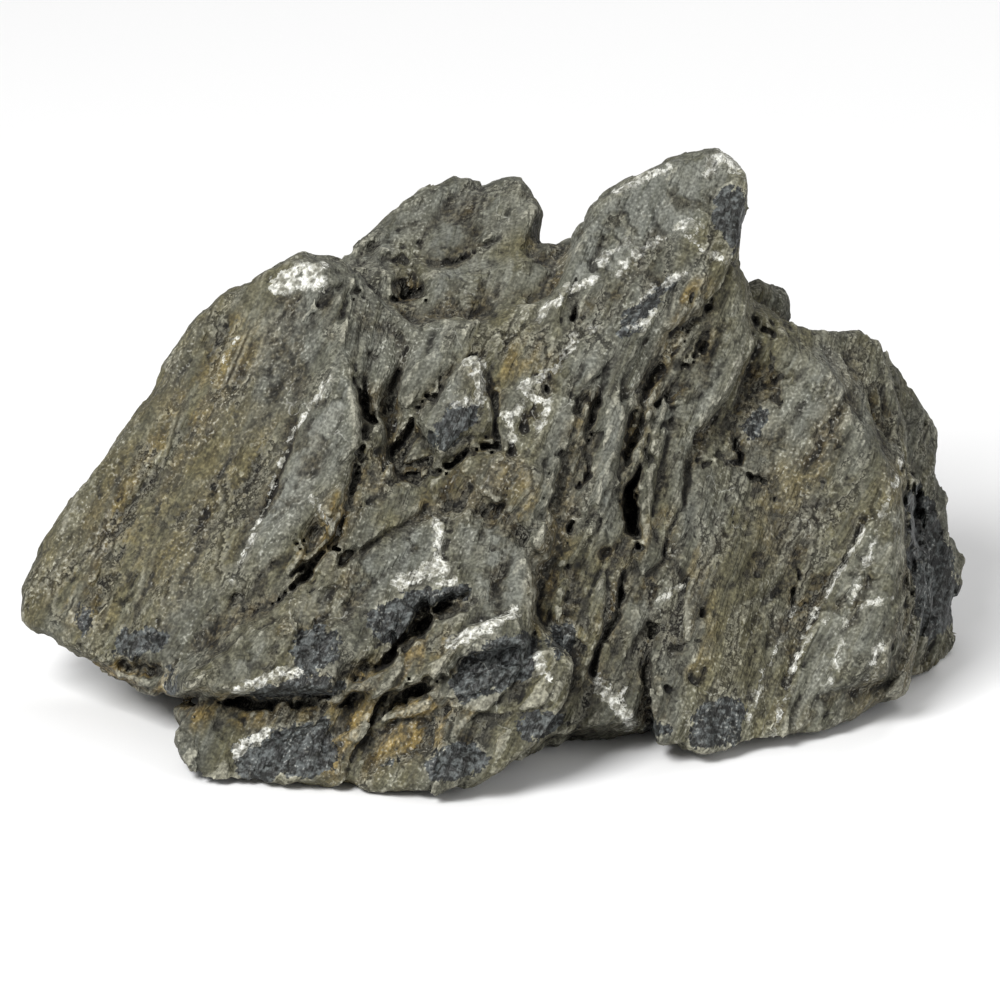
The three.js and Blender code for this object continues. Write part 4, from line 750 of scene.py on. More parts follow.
def skin_of(volume):
    """Points, in grid steps, and four-sided faces of the skin."""
    cells = crossed_cells(volume)
    values = np.stack([volume[tuple((cells + c).T)] for c in CORNERS], 1)
    total, hits = np.zeros((len(cells), 3)), np.zeros((len(cells), 1))
    for a, b in EDGES:
        va, vb = values[:, a], values[:, b]
        crossed = (va < 0) != (vb < 0)
        share = np.where(crossed, va / np.where(crossed, va - vb, 1), 0)[:, None]
        total += np.where(crossed[:, None], CORNERS[a] + share * (CORNERS[b] - CORNERS[a]), 0)
        hits += crossed[:, None]
    index = np.full([n - 1 for n in volume.shape], -1, np.int32)
    index[tuple(cells.T)] = np.arange(len(cells))
    inside = volume < 0
    faces = []
    for axis in range(3):
        one, two = np.roll(np.eye(3, dtype=int), axis, axis=1)[1:]
        low = np.moveaxis(inside, axis, 0)[:-1]
        high = np.moveaxis(inside, axis, 0)[1:]
        spot = np.argwhere(np.moveaxis(low != high, 0, axis))
        around = (one + two, two, 0 * one, one)
        face = np.stack([index[tuple((spot - back).T)] for back in around], 1)
        outward = inside[tuple(spot.T)]
        face[outward] = face[outward][:, ::-1]
        faces.append(face)
    return cells + total / hits, np.concatenate(faces)


def largest_piece(points, faces):
    """Keeps the largest joined-up piece: each point takes the lowest number that it meets."""
    label = np.arange(len(points))
    pairs = np.concatenate([faces[:, [0, 1]], faces[:, [1, 2]], faces[:, [2, 3]]])
    while True:
        low = np.minimum(label[pairs[:, 0]], label[pairs[:, 1]])
        lower = label.copy()
        np.minimum.at(lower, pairs[:, 0], low)
        np.minimum.at(lower, pairs[:, 1], low)
        lower = lower[lower]
        if (lower == label).all():
            break
        label = lower
    names, counts = np.unique(label, return_counts=True)
    keep = label == names[counts.argmax()]
    return points[keep], (np.cumsum(keep) - 1)[faces[keep[faces[:, 0]]]]


untangle(stone)
points, faces = largest_piece(*skin_of(stone))
points = np.array(SPACE_LOW) + points * CELL
skin_points = np.stack([
    points[:, 0] - STONE_MIDDLE[0],
    points[:, 1] * lean_sin + points[:, 2] * lean_cos - STONE_MIDDLE[1],
    np.maximum(points[:, 1] * lean_cos - points[:, 2] * lean_sin - FOOT_TRIM, 0),
], 1) / 1000

MOST_TRIANGLES = 196000
BACK_SHARE = 0.6
FACES_AWAY = -0.1
SHARP_EDGE = np.radians(40)
skin = bpy.data.meshes.new("slate skin")
skin.vertices.add(len(skin_points))
skin.vertices.foreach_set("co", skin_points.astype(np.float32).ravel())
skin.loops.add(4 * len(faces))
skin.loops.foreach_set("vertex_index", faces.astype(np.int32).ravel())
skin.polygons.add(len(faces))
skin.polygons.foreach_set("loop_start", np.arange(0, 4 * len(faces), 4, dtype=np.int32))
skin.update(calc_edges=True)
slate = bpy.data.objects.new("slate", skin)
bpy.context.scene.collection.objects.link(slate)
# the back may have larger faces than the side that was set out
eyeward = np.empty(3 * len(skin_points), np.float32)
skin.vertices.foreach_get("normal", eyeward)
eyeward = eyeward.reshape(-1, 3) @ (0, -lean_cos, lean_sin)
back_side = slate.vertex_groups.new(name="back side")
back_side.add(np.nonzero(eyeward < FACES_AWAY)[0].tolist(), 1.0, "REPLACE")


def thin(ratio, group=""):
    """Merges points where that changes the shape least, until that share of the faces is left."""
    thinner = slate.modifiers.new("fewer faces", "DECIMATE")
    thinner.ratio = ratio
    thinner.use_collapse_triangulate = True
    thinner.vertex_group = group
    ready = slate.evaluated_get(bpy.context.evaluated_depsgraph_get())
    slate.data = bpy.data.meshes.new_from_object(ready)
    slate.modifiers.clear()


thin(BACK_SHARE, back_side.name)
thin(MOST_TRIANGLES / len(slate.data.polygons))
slate.vertex_groups.clear()
slate.data.name = "slate"
slate.data.shade_smooth()
slate.data.set_sharp_from_angle(angle=SHARP_EDGE)

# What the weather and the minerals did at each point of the skin is worked out once and kept
# on the points: how hollow it is, which also steers painted shade and painted highlights, fresh
# dark breaks, white calcite and rusty staining.
spots = np.empty(3 * len(slate.data.vertices), np.float32)
slate.data.vertices.foreach_get("co", spots)
spots = spots.reshape(-1, 3) * 1000
u, y, z = spots[:, 0] + STONE_MIDDLE[0], spots[:, 1] + STONE_MIDDLE[1], spots[:, 2] + FOOT_TRIM
v, w = y * lean_sin + z * lean_cos, y * lean_cos - z * lean_sin
normals = np.empty(3 * len(u), np.float32)
slate.data.vertices.foreach_get("normal", normals)
normals = normals.reshape(-1, 3)
# 1 on the side that was set out, and fading to 0 where the skin turns away from it
TURNED_AWAY = -0.3
facing = smooth_step(TURNED_AWAY, 0, -(normals[:, 1] * lean_cos - normals[:, 2] * lean_sin))


def looked_up(volume):
    """The volume's value at each point of the skin, mixed from the eight grid points around it."""
    spot = (np.stack([u, v, w], 1) - np.array(SPACE_LOW)) / CELL
    base = np.clip(np.floor(spot).astype(int), 0, np.array(volume.shape) - 2)
    part = spot - base
    shares = [np.prod(np.where(c, part, 1 - part), 1) for c in CORNERS]
    return sum(share * volume[tuple((base + c).T)] for c, share in zip(CORNERS, shares))


def worn_mean(reach):
    """Mean of the volume over a box of that reach in mm: below zero where the skin is hollow."""
    out = np.clip(stone, -2 * reach, 2 * reach)
    n = int(round(reach / CELL))
    for axis in range(3):
        rows = np.moveaxis(out, axis, 0)
        padded = np.concatenate([rows[:1]] * (n + 1) + [rows] + [rows[-1:]] * n)
        total = np.cumsum(padded, 0, dtype=np.float32)
        out = np.moveaxis((total[2 * n + 1:] - total[:-2 * n - 1]) / (2 * n + 1), 0, axis)
    return looked_up(out)


marks = {
    "edge_hollow": worn_mean(0.7),
    "fine_hollow": worn_mean(1.6),
    "broad_hollow": worn_mean(5),
}

# outlines of the blue-black fresh breaks
DARK_BREAKS = [
    # peak
    [
        (43.2, 120.8), (46, 122.4), (49.2, 122), (49.6, 117), (48.4, 112), (46.4, 109.6),
        (44.4, 112), (42.8, 116),
    ],
    # fin top
    [
        (36, 104), (33.6, 102), (30, 97), (28, 94), (24, 92.6), (24.4, 96), (28, 100),
        (32.4, 103.2),
    ],
    # middle flake
    [
        (-8.6, 79), (-4.4, 78.4), (-5.2, 76.4), (-7.6, 74.4), (-10.4, 70), (-14.4, 71.4),
        (-12, 74.4), (-10.4, 77.6),
    ],
    # tongue
    [
        (-41.4, 30), (-40, 32.8), (-36.4, 34.8), (-32, 35), (-31, 32), (-33, 28.8), (-36.4, 26.4),
        (-40, 26),
    ],
    # over the crevice
    [
        (-25.6, 37.6), (-23, 40), (-19, 42), (-15, 42.4), (-10, 44), (-6, 43.2), (-6.8, 40.8),
        (-12, 39.6), (-16.4, 37.6), (-18, 34), (-20.4, 32), (-24, 32.8), (-26, 35),
    ],
    # tongue edge
    [
        (-50, 22), (-46, 24), (-40, 24.8), (-34, 25), (-31, 23.6), (-34, 21.6), (-40, 20.6),
        (-47.6, 20.4),
    ],
    # lobe
    [
        (-52.4, 10.4), (-50, 13), (-45, 14.8), (-40, 16.2), (-35, 16.6), (-33, 14.4),
        (-31.6, 10.4), (-32.4, 7.2), (-37, 6), (-42, 5.6), (-46, 4.4), (-49.6, 4), (-51.6, 6.4),
    ],
    # lobe belly
    [
        (-14, 8.4), (-12, 10.8), (-8.4, 11.8), (-4.4, 11.6), (-2, 9.6), (-3.6, 7.2), (-7.6, 6),
        (-11.2, 5), (-13.6, 6),
    ],
    [(-23, 8), (-21.6, 10), (-20, 9.2), (-20.4, 7)],  # lobe chip
    # low flake
    [
        (-9.6, 24), (-7.6, 28), (-4, 31), (0, 33.6), (4, 34.4), (7.2, 32), (8, 28), (5.6, 24.8),
        (1, 23.2), (-4, 21.6), (-8, 20.4),
    ],
    [(4, 15.6), (6, 18), (9.6, 19), (12, 17.6), (11.2, 14.4), (8, 13), (4.8, 13.4)],  # low chip
    [(9, 32), (10.4, 35.2), (13.2, 36), (15, 34), (14, 30.4), (11.2, 29)],  # fin foot
    [(29, 14), (30.4, 16.2), (33.6, 16.4), (34, 14), (31, 12.8)],  # foot chip
    # right foot
    [
        (36.4, 13), (38, 17.6), (41, 20.4), (45.6, 21), (49, 19), (48.4, 14.4), (46, 11.2),
        (41, 11), (38, 11.6),
    ],
    # far right
    [
        (81.6, 60), (84.4, 63.2), (88, 59), (90, 53), (92.4, 49.6), (93.6, 42), (91.6, 35),
        (88.4, 31), (85, 32), (82.8, 40), (81.6, 50),
    ],
    [(48.4, 75), (50.4, 78.4), (53.2, 79), (54, 76), (52.4, 72.8), (49.6, 72)],  # right crack
    [(-85, 36), (-83.2, 38.8), (-81, 38.4), (-81.2, 35), (-83.2, 33)],  # left tip
    # left foot
    [
        (-78, 32), (-75, 34.4), (-70, 35), (-66, 33.6), (-67, 30.4), (-72, 28.8), (-76.4, 29.2),
    ],
    [(-66.4, 24), (-65.6, 27.2), (-64.4, 26.8), (-64.4, 22), (-65.6, 21)],  # left corner
]
# width in mm, then the points of the seam
CALCITE = [
    (3, [(-44.8, 102.6), (-40.8, 103.2), (-36.8, 103.6)]),  # left shoulder
    (1.6, [(-43, 105.2), (-40, 106.4), (-35.6, 106.4)]),  # left shoulder tip
    (2.2, [(-4.8, 86), (-4, 83.6), (-4, 80.4)]),  # middle flake
    (1.8, [(-6.4, 87.6), (-4.4, 87.2)]),  # middle flake top
    (0.8, [(-9, 78.8), (-4.4, 79.6)]),  # middle flake foot
    (1, [(8.8, 85), (6.8, 83.6), (4, 82.4), (6, 80.4), (9, 79.6), (9.6, 78), (8, 74)]),  # centre loop
    (1.4, [(1.6, 76.8), (4, 78.4)]),  # centre tail
    (1.2, [(2.4, 75.2), (2.6, 72)]),  # centre tail end
    (2.2, [(42.4, 128), (45.2, 128.8), (47.6, 126.8)]),  # peak
    (1, [(41.2, 125.6), (43.6, 126.8)]),  # peak foot
    (0.8, [(43.2, 129.6), (46.8, 128), (48.8, 124.8)]),  # peak tip
    (0.9, [(23.4, 121.6), (26, 123.2)]),  # peak left
    (0.9, [(28, 124), (31, 125.6), (34, 126.6)]),  # peak left top
    (1.2, [(40, 114.8), (36.4, 114.8), (34.4, 113.6)]),  # fin ridge
    (0.9, [(32, 112.4), (28, 109.6), (24.4, 107.4)]),  # fin ridge middle
    (1, [(20, 104.4), (17, 103.2), (14, 102)]),  # fin ridge low
    (0.9, [(12, 100), (9.6, 98.4), (7.6, 96.4)]),  # fin ridge end
    (1, [(19.6, 106.8), (21.2, 108.8)]),  # fin ridge branch
    (0.8, [(23.6, 110.8), (25.6, 112)]),  # fin ridge branch top
    (0.8, [(23, 104.8), (25.6, 107.2)]),  # fin ridge spur
    (1, [(28, 100), (31, 102.4), (34.4, 104), (36.8, 105.2)]),  # fin top seam
    (0.8, [(25.6, 94.4), (29, 95), (30.4, 96.8)]),  # fin top seam foot
    (0.4, [(37, 113.6), (40, 110.4), (45, 107.6)]),  # fin right
    (1.2, [(-12.8, 55.6), (-11.6, 52), (-12.4, 48), (-10.8, 45.6)]),  # tongue bloom
    (2.6, [(-19.6, 43.6), (-16, 45.2), (-12, 46.8)]),  # tongue bloom wash
    (1.2, [(-12, 43.6), (-9, 43.6)]),  # tongue bloom foot
    (1.4, [(-51.2, 22.8), (-47.6, 24.4), (-43, 26), (-40, 26.4)]),  # tongue edge
    (1.6, [(-52, 10), (-49.6, 12.4), (-46, 14.4)]),  # lobe corner
    (1.6, [(-9.6, 32), (-6, 33.6), (-2, 35.2), (2.4, 38)]),  # over crevice
    (1.8, [(19.6, 24), (21, 21.6), (23, 19.6), (25, 17.2), (25.6, 15.2)]),  # fin foot seam
    (0.8, [(25, 22.8), (23.6, 21.2)]),  # fin foot arm
    (1, [(7.6, 30), (8, 27.2), (9.6, 24.8)]),  # low flake crack
    (0.6, [(31, 40.4), (33.6, 42), (36, 42.8)]),  # block
    (0.5, [(73, 25), (74.4, 29), (76, 32)]),  # right foot
    (0.4, [(-37.6, 60.6), (-35.6, 57), (-32, 53.6)]),  # crack rim
    (0.3, [(72.4, 54), (69, 48), (62, 36), (57, 24), (54, 13)]),  # right vein
    (0.3, [(77.6, 40.6), (71, 38.6), (64, 36)]),  # right cross vein
    (0.25, [(58.6, 38), (53, 27), (49, 16)]),  # right low vein
    (0.2, [(81, 69), (76, 56), (70, 40), (65.6, 24)]),  # right long vein
    (0.1, [(-34, 84), (-42, 72), (-47, 58), (-53, 44)]),  # shield vein
    (0.68, [(13.2, 89.6), (12, 87), (11.2, 85.6)]),  # centre slip
    (1, [(15, 92.8), (13.6, 90.4), (12.4, 88.8)]),  # pit seam
    (0.8, [(18, 93.6), (20, 94.8)]),  # pit seam arm
    (0.15, [(-53, 92), (-55, 88), (-57, 84)]),  # shield cross vein
]
# width in mm, strength and the points of the stain
STAINS = [
    (8, 0.8, [(-50, 94), (-60, 80), (-70, 66), (-78, 54), (-83, 40)]),  # left edge
    (12, 0.3, [(-88, 42), (-72, 66), (-54, 92)]),  # left field
    (12, 0.35, [(-74, 40), (-60, 56), (-48, 72)]),  # shield field
    (4.4, 1.4, [(-31, 59), (-35, 51), (-40, 46)]),  # crack wall
    (4.4, 0.8, [(-30, 44), (-36, 39), (-43, 33.6)]),  # crack foot
    (8, 2, [(-30, 11), (-24, 15), (-14, 17)]),  # lobe
    (4.4, 1.8, [(-6, 15.6), (0, 15.6)]),  # lobe right
    (5.2, 0.8, [(-4, 86), (2, 88), (8, 90)]),  # centre
    (2, 1, [(36, 100), (40, 103.2)]),  # rust spot
    (2.8, 0.6, [(6.4, 112), (12, 108.8)]),  # saddle
    (2.4, 0.7, [(-33, 99), (-32.4, 93)]),  # shoulder
    (2.2, 0.6, [(-39, 82.4), (-35, 78.4)]),  # shield spot
    (3.6, 0.8, [(30, 23), (30.4, 18)]),  # block foot
    (3.6, 0.5, [(50.4, 85.6), (54, 81)]),  # right shoulder
    (4, 0.6, [(57, 17), (61.6, 17)]),  # right foot
    (5.2, 1.4, [(-60, 19), (-48, 19), (-32, 22), (-20, 26), (-14, 32)]),  # crevice floor
    (4.4, 1.4, [(-79, 26.4), (-67, 24)]),  # left notch
    (5.6, 0.9, [(18, 76), (12, 60), (9, 42), (12, 32)]),  # groove floor
    (3.2, 0.6, [(20, 26), (25, 22)]),  # fin foot
    (6, 0.35, [(80, 64), (81, 48), (76, 28)]),  # right edge
    (6.8, 0.8, [(-20, 64), (-12, 60), (0, 64)]),  # valley
    (2.8, 0.9, [(4, 66), (7, 60), (1, 56)]),  # flake edge
    (3.6, 0.9, [(-25.6, 80), (-23, 72), (-24.4, 64)]),  # crack right
    (8, 0.5, [(52, 72), (58, 64), (54, 54)]),  # right field
    (4.8, 0.6, [(70, 86), (66, 76), (63, 66)]),  # right upper
    (4.8, 0.5, [(38, 48), (40, 36), (38, 28)]),  # right low
    (8, 0.5, [(81, 26), (74, 20)]),  # far foot
    (3.6, 0.8, [(40, 102), (34, 90), (28, 76), (25, 68)]),  # block groove
    (4.4, 0.8, [(32, 56), (28, 48), (22, 36)]),  # block low
]
# strength and outline of the smooth grey flakes that the weather has left clean
CLEAN_FLAKES = [
    # tongue
    (1, [
        (-53, 21.6), (-60, 22), (-47.6, 35.6), (-31, 47.6), (-20, 54), (-12, 58), (-10, 55.6),
        (-11, 48), (-20, 44), (-30, 37.6), (-40, 31.6),
    ]),
    (1, [(-9.6, 56.4), (0, 56.4), (6, 48), (6.4, 40), (0, 37.6), (-6, 42), (-8, 48)]),  # tongue facet
    # shield rim
    (1, [
        (-50, 40), (-47.6, 58), (-42, 72), (-34, 83.6), (-29, 84), (-27.2, 74), (-30, 67),
        (-36.4, 61), (-42, 50),
    ]),
    # shield shoulder
    (0.6, [
        (-55, 100), (-47.6, 103.2), (-40, 106), (-35, 100), (-36.4, 86), (-42, 76), (-48, 76),
        (-50, 92),
    ]),
    # fin top
    (1, [
        (15.4, 115.6), (25, 123.6), (38, 129.6), (44, 130), (48.4, 124), (44, 115.6), (36, 113.2),
        (20, 103.6), (9.6, 100), (13, 110),
    ]),
    # fin middle
    (0.8, [
        (9, 81), (12.4, 89.6), (20, 89.6), (18.4, 83.2), (14, 74), (10.4, 64), (9, 52), (6.4, 56),
        (8, 70),
    ]),
    # ledge
    (1, [
        (-16, 100), (-12, 107.6), (-4, 110), (6, 107.6), (12, 107.6), (8, 103), (0, 97.6),
        (-10, 96.4),
    ]),
    # peak
    (0.7, [
        (-30, 107.6), (-20, 120), (-10, 124), (-4, 122.4), (4, 123.6), (7, 118), (6, 113),
        (-12, 109),
    ]),
    (0.7, [(-31, 94), (-14, 100), (-4, 95), (-10, 88), (-20, 80), (-26, 86)]),  # valley top
    (1, [(-20.4, 66.4), (-12, 82), (-7.6, 87.6), (-6, 80), (-10.8, 71.6), (-16, 68)]),  # middle flake
    # fin blade
    (1, [
        (20, 83), (24.4, 83.2), (24.4, 72), (21.6, 64), (23.6, 60), (22.4, 52), (19.6, 50),
        (18, 60), (20, 72),
    ]),
    # fin two
    (0.8, [
        (31, 80), (40, 92), (48, 105), (51, 96), (50.4, 91), (42.4, 72), (40, 66), (38, 52),
        (33, 60), (32, 72),
    ]),
    # right plate
    (1, [
        (72.4, 55), (81, 60), (82.4, 49), (77, 36), (70, 22), (60, 13), (54, 11), (58, 24),
        (64, 40),
    ]),
    # right top
    (0.8, [
        (56, 91), (68, 91), (73, 90), (70, 80), (64, 74), (58, 66), (50, 68), (49, 78), (54, 84),
    ]),
    (0.8, [(21, 47), (30, 48), (32, 40), (28, 32), (20, 36), (18, 42)]),  # foot plate
]
FAR = 8
# shares of the flakes on the other sides that are fresh breaks and that are clean
FRESH_SHARE = 0.09
CLEAN_SHARE = 0.4


def line_distance(points, u, v):
    """Distance from each (u, v) to a line of points."""
    nearest = np.full(np.shape(u), 1e9)
    for start, end in zip(points, points[1:]):
        _, du, dv = nearest_on(start, end, u, v)
        nearest = np.minimum(nearest, np.hypot(du, dv))
    return nearest


dark = np.full(len(u), float(FAR))
for points in DARK_BREAKS:
    dark = np.minimum(dark, outline_distance(points, u, v))
calcite = np.full(len(u), float(FAR))
for width, points in CALCITE:
    calcite = np.minimum(calcite, line_distance(points, u, v) - width / 2)
stain = np.zeros(len(u))
for width, strength, points in STAINS:
    fade = 1 - smooth_step(0.2, 1.2, line_distance(points, u, v) / width)
    stain = np.maximum(stain, strength * fade)
clean = np.zeros(len(u))
for strength, points in CLEAN_FLAKES:
    clean = np.maximum(clean, strength * smooth_step(-1.5, 2.5, -outline_distance(points, u, v)))
# away from the face, whole flakes are fresh breaks or clean here and there
spacing, _, pattern = LARGE_FLAKES[1]
_, own, inside = flake_cells(bedded(np.stack([u, v, w], 1)) / spacing, pattern)
fresh = np.where(own < FRESH_SHARE, -1, 1) * np.minimum(inside * 6, FAR)
marks["dark"] = facing * dark + (1 - facing) * fresh
marks["calcite"] = facing * calcite + (1 - facing) * FAR
marks["stain"] = facing * stain
marks["clean"] = facing * clean + (1 - facing) * np.where(own > 1 - CLEAN_SHARE, 0.8, 0)
marks["facing"] = facing
for name, values in marks.items():
    layer = slate.data.attributes.new(name, "FLOAT", "POINT")
    layer.data.foreach_set("value", values.astype(np.float32))

# The colour of slate: grey with an olive cast, in thin beds, browned by iron where it is hollow
# or stained, blue-black on fresh breaks, and crossed by white calcite. Painted shade darkens its
# creases, cracks, pores and the gaps between crumbs, and painted highlights pale its crests.
slate_material = bpy.data.materials.new("slate")
slate_material.use_nodes = True
tree = slate_material.node_tree
tree.nodes.clear()


def tint(red, green, blue):
    """A colour as the eye sees it, 0 to 255, made linear."""
    return (*((c / 255) ** 2.2 for c in (red, green, blue)), 1)


def add(kind, inputs=(), **settings):
    """A shader node with its settings; inputs are (socket, a value or another node's output)."""
    node = tree.nodes.new("ShaderNode" + kind)
    for name, value in settings.items():
        setattr(node, name, value)
    for socket, value in inputs:
        if isinstance(value, bpy.types.NodeSocket):
            tree.links.new(value, node.inputs[socket])
        else:
            node.inputs[socket].default_value = value
    return node


def worked(operation, *values):
    """One step of arithmetic on two values."""
    return add("Math", enumerate(values), operation=operation).outputs[0]


def plus(one, *others):
    """The sum of all the values."""
    for other in others:
        one = worked("ADD", one, other)
    return one


def times(one, *others):
    """The product of all the values."""
    for other in others:
        one = worked("MULTIPLY", one, other)
    return one


def larger(one, *others):
    """The largest of the values."""
    for other in others:
        one = worked("MAXIMUM", one, other)
    return one


def rest_of(share):
    """What a share leaves of the whole."""
    return worked("SUBTRACT", 1.0, share)


def up_to_one(value):
    """The value, or 1 where it is more."""
    return worked("MINIMUM", value, 1.0)


def rise(value, low, high):
    """0 where the value is below low, 1 above high, a smooth S between; low may be the larger."""
    pairs = enumerate((value, low, high, 0.0, 1.0))
    return add("MapRange", pairs, interpolation_type="SMOOTHSTEP").outputs[0]


def noise(at, size, detail, rough):
    """Cloudy noise around 0.5 whose largest lumps are about that size in mm."""
    pairs = [("Vector", at), ("Scale", 1 / size), ("Detail", detail), ("Roughness", rough)]
    return add("TexNoise", pairs).outputs[0]


def blend(share, under, over, kind="MIX"):
    """The colour over laid on the colour under by that share."""
    pairs = [(0, share), (6, under), (7, over)]
    return add("Mix", pairs, data_type="RGBA", blend_type=kind).outputs[2]


def mark(name):
    """What is kept on the skin's points under that name."""
    return add("Attribute", attribute_name=name, attribute_type="GEOMETRY").outputs["Fac"]


def vector(operation, one, other, socket=1):
    """One step of arithmetic on a place; other goes to that socket, which is 3 for a scale."""
    return add("VectorMath", [(0, one), (socket, other)], operation=operation).outputs


place = vector("SCALE", add("TexCoord").outputs["Object"], 1000.0, 3)[0]
LEANING = np.array([[1, 0, 0], [0, lean_sin, lean_cos], [0, lean_cos, -lean_sin]])


def in_beds(run, dip, layer):
    """Places measured along the bedding, in steps of run, dip and layer mm."""
    steps = [
        vector("DOT_PRODUCT", place, tuple(LEANING @ way / step))["Value"]
        for way, step in zip(BEDDING, (run, dip, layer))
    ]
    return add("CombineXYZ", enumerate(steps)).outputs[0]


def shaken(value, by, amount):
    """A value moved up and down by a noise, which is around 0.5, times the amount."""
    return plus(value, times(worked("SUBTRACT", by, 0.5), amount))


# patterns that several of the finishes below read, with the size of their largest lumps in mm,
# or their steps along the bedding's run, dip and thickness
torn = noise(place, 2.4, 3.0, 0.7)
fine = noise(place, 1.4, 2.0, 0.65)
grain = noise(place, 0.6, 0.5, 0.6)
mottle = noise(place, 8.0, 3.0, 0.66)
cloud = noise(place, 22.0, 3.0, 0.65)
patchy = rise(noise(place, 11.0, 3.0, 0.65), 0.4, 0.62)
broad = noise(in_beds(60.0, 45.0, 16.0), 1.0, 2.0, 0.6)
bands = noise(in_beds(34.0, 20.0, 4.5), 1.0, 3.0, 0.62)
beds = noise(in_beds(24.0, 14.0, 1.3), 1.0, 2.0, 0.65)
crumbs = noise(in_beds(3.6, 2.6, 1.3), 1.0, 2.0, 0.7)
RAGGEDNESS = 0.7
ragged = add("CombineXYZ", [(0, torn), (1, fine), (2, plus(torn, fine))]).outputs[0]
ragged = vector("SCALE", ragged, RAGGEDNESS, 3)[0]


def flakes(run, dip, layer):
    """Ragged cells of that size along the bedding, and for each a value of its own, 0 to 1."""
    cells = vector("ADD", in_beds(run, dip, layer), ragged)[0]
    own = add("TexVoronoi", [("Vector", cells), ("Scale", 1.0)]).outputs["Color"]
    return cells, add("SeparateColor", [(0, own)]).outputs[0]


_, chips = flakes(5.0, 3.5, 1.3)
split_cells, splits = flakes(16.0, 9.0, 4.0)
split_pairs = [("Vector", split_cells), ("Scale", 1.0)]
split_border = add("TexVoronoi", split_pairs, feature="DISTANCE_TO_EDGE").outputs["Distance"]

edge_hollow, fine_hollow = mark("edge_hollow"), mark("fine_hollow")
clean = times(mark("clean"), rise(mottle, 0.36, 0.5))
weathered = rest_of(times(clean, 0.8))

# grey and olive in bands along the beds, with thinner streaks of darker and paler slate, and
# greyer where the weather has left it clean
GREY_SLATE = tint(110, 111, 102)
OLIVE_SLATE = tint(108, 104, 80)
PALE_BAND = tint(124, 124, 108)
DARK_BAND = tint(88, 87, 70)
PALE_STREAK = tint(128, 128, 114)
DARK_STREAK = tint(84, 82, 64)
CLEAN_PALE = tint(126, 128, 122)
CLEAN_GREY = tint(104, 106, 99)
colour = blend(rise(shaken(broad, mottle, 0.3), 0.42, 0.58), GREY_SLATE, OLIVE_SLATE)
colour = blend(times(rise(bands, 0.52, 0.68), 0.5), colour, PALE_BAND)
colour = blend(times(rise(bands, 0.48, 0.34), 0.5), colour, DARK_BAND)
colour = blend(times(rise(beds, 0.54, 0.68), 0.55), colour, DARK_STREAK)
colour = blend(times(rise(beds, 0.46, 0.32), 0.5), colour, PALE_STREAK)
colour = blend(times(rise(mottle, 0.52, 0.36), 0.4, weathered), colour, DARK_BAND)
clean_slate = blend(rise(beds, 0.4, 0.6), CLEAN_PALE, CLEAN_GREY)
colour = blend(times(clean, 0.6), colour, clean_slate)

# rust: the marked stains on the face, and cloudy ones elsewhere; the strongest turn to ochre
RUST = tint(95, 81, 50)
OCHRE = tint(134, 117, 72)
BRIGHT_OCHRE = tint(154, 131, 76)
rust_on_face = times(mark("stain"), rise(shaken(bands, mottle, 0.5), 0.4, 0.58), weathered)
rust_elsewhere = times(rest_of(mark("facing")), rise(cloud, 0.55, 0.72), 0.6)
rust = larger(rust_on_face, rust_elsewhere)
strongest = rise(rust, 0.8, 1.6)
rust = up_to_one(rust)
rust_tint = blend(rise(shaken(mottle, beds, 0.5), 0.4, 0.62), RUST, OCHRE)
rust_tint = blend(strongest, rust_tint, BRIGHT_OCHRE)
colour = blend(times(rust, rise(fine, 0.2, 0.5), 0.85), colour, rust_tint)

# crumbly patches, most of all in hollows and in rust: painted shade between the crumbs and painted
# light on them
CRUMB_SHADE = tint(120, 114, 98)
CRUMB_TOP_LIGHT = (1.12, 1.12, 1.1, 1)
deep = rise(shaken(shaken(mark("broad_hollow"), mottle, 3.5), fine, 1.2), 0.25, -1.6)
crumbly = plus(times(deep, 0.7), times(rust, 0.35), times(patchy, 0.45), 0.12)
crumbly = times(up_to_one(crumbly), rest_of(times(clean, 0.7)))
# painted shade and light that follow the crumbs' height in the relief below
crumb_light_and_shade = blend(rise(crumbs, 0.34, 0.6), CRUMB_SHADE, CRUMB_TOP_LIGHT)
colour = blend(crumbly, colour, crumb_light_and_shade, "MULTIPLY")

# soil in the hollows, painted black shade in the creases and folds, and edges rubbed paler and given
# painted highlights
DAMP_SOIL = tint(48, 40, 24)
DRY_SOIL = tint(104, 90, 58)
CREASE_SHADE = tint(19, 17, 11)
RUBBED_AND_HIGHLIGHT = tint(176, 174, 158)
colour = blend(times(deep, 0.85), colour, blend(rise(fine, 0.38, 0.6), DAMP_SOIL, DRY_SOIL))
# painted shade: black where the skin creases inward
crease_shade = rise(shaken(fine_hollow, fine, 0.7), 0.05, -0.55)
colour = blend(times(crease_shade, 0.85), colour, CREASE_SHADE)
# rim and edge: crests paler, partly rubbed wear and partly painted highlight
rim = rise(shaken(shaken(fine_hollow, fine, 0.9), chips, 0.6), 0.45, 0.95)
colour = blend(times(rim, 0.55), colour, RUBBED_AND_HIGHLIGHT)
edge = rise(shaken(edge_hollow, fine, 0.12), 0.16, 0.34)
colour = blend(times(edge, 0.45), colour, RUBBED_AND_HIGHLIGHT)
# painted shade: black in the narrow folds of the skin
fold_shade = rise(shaken(edge_hollow, fine, 0.12), -0.12, -0.28)
colour = blend(times(fold_shade, 0.8), colour, CREASE_SHADE)

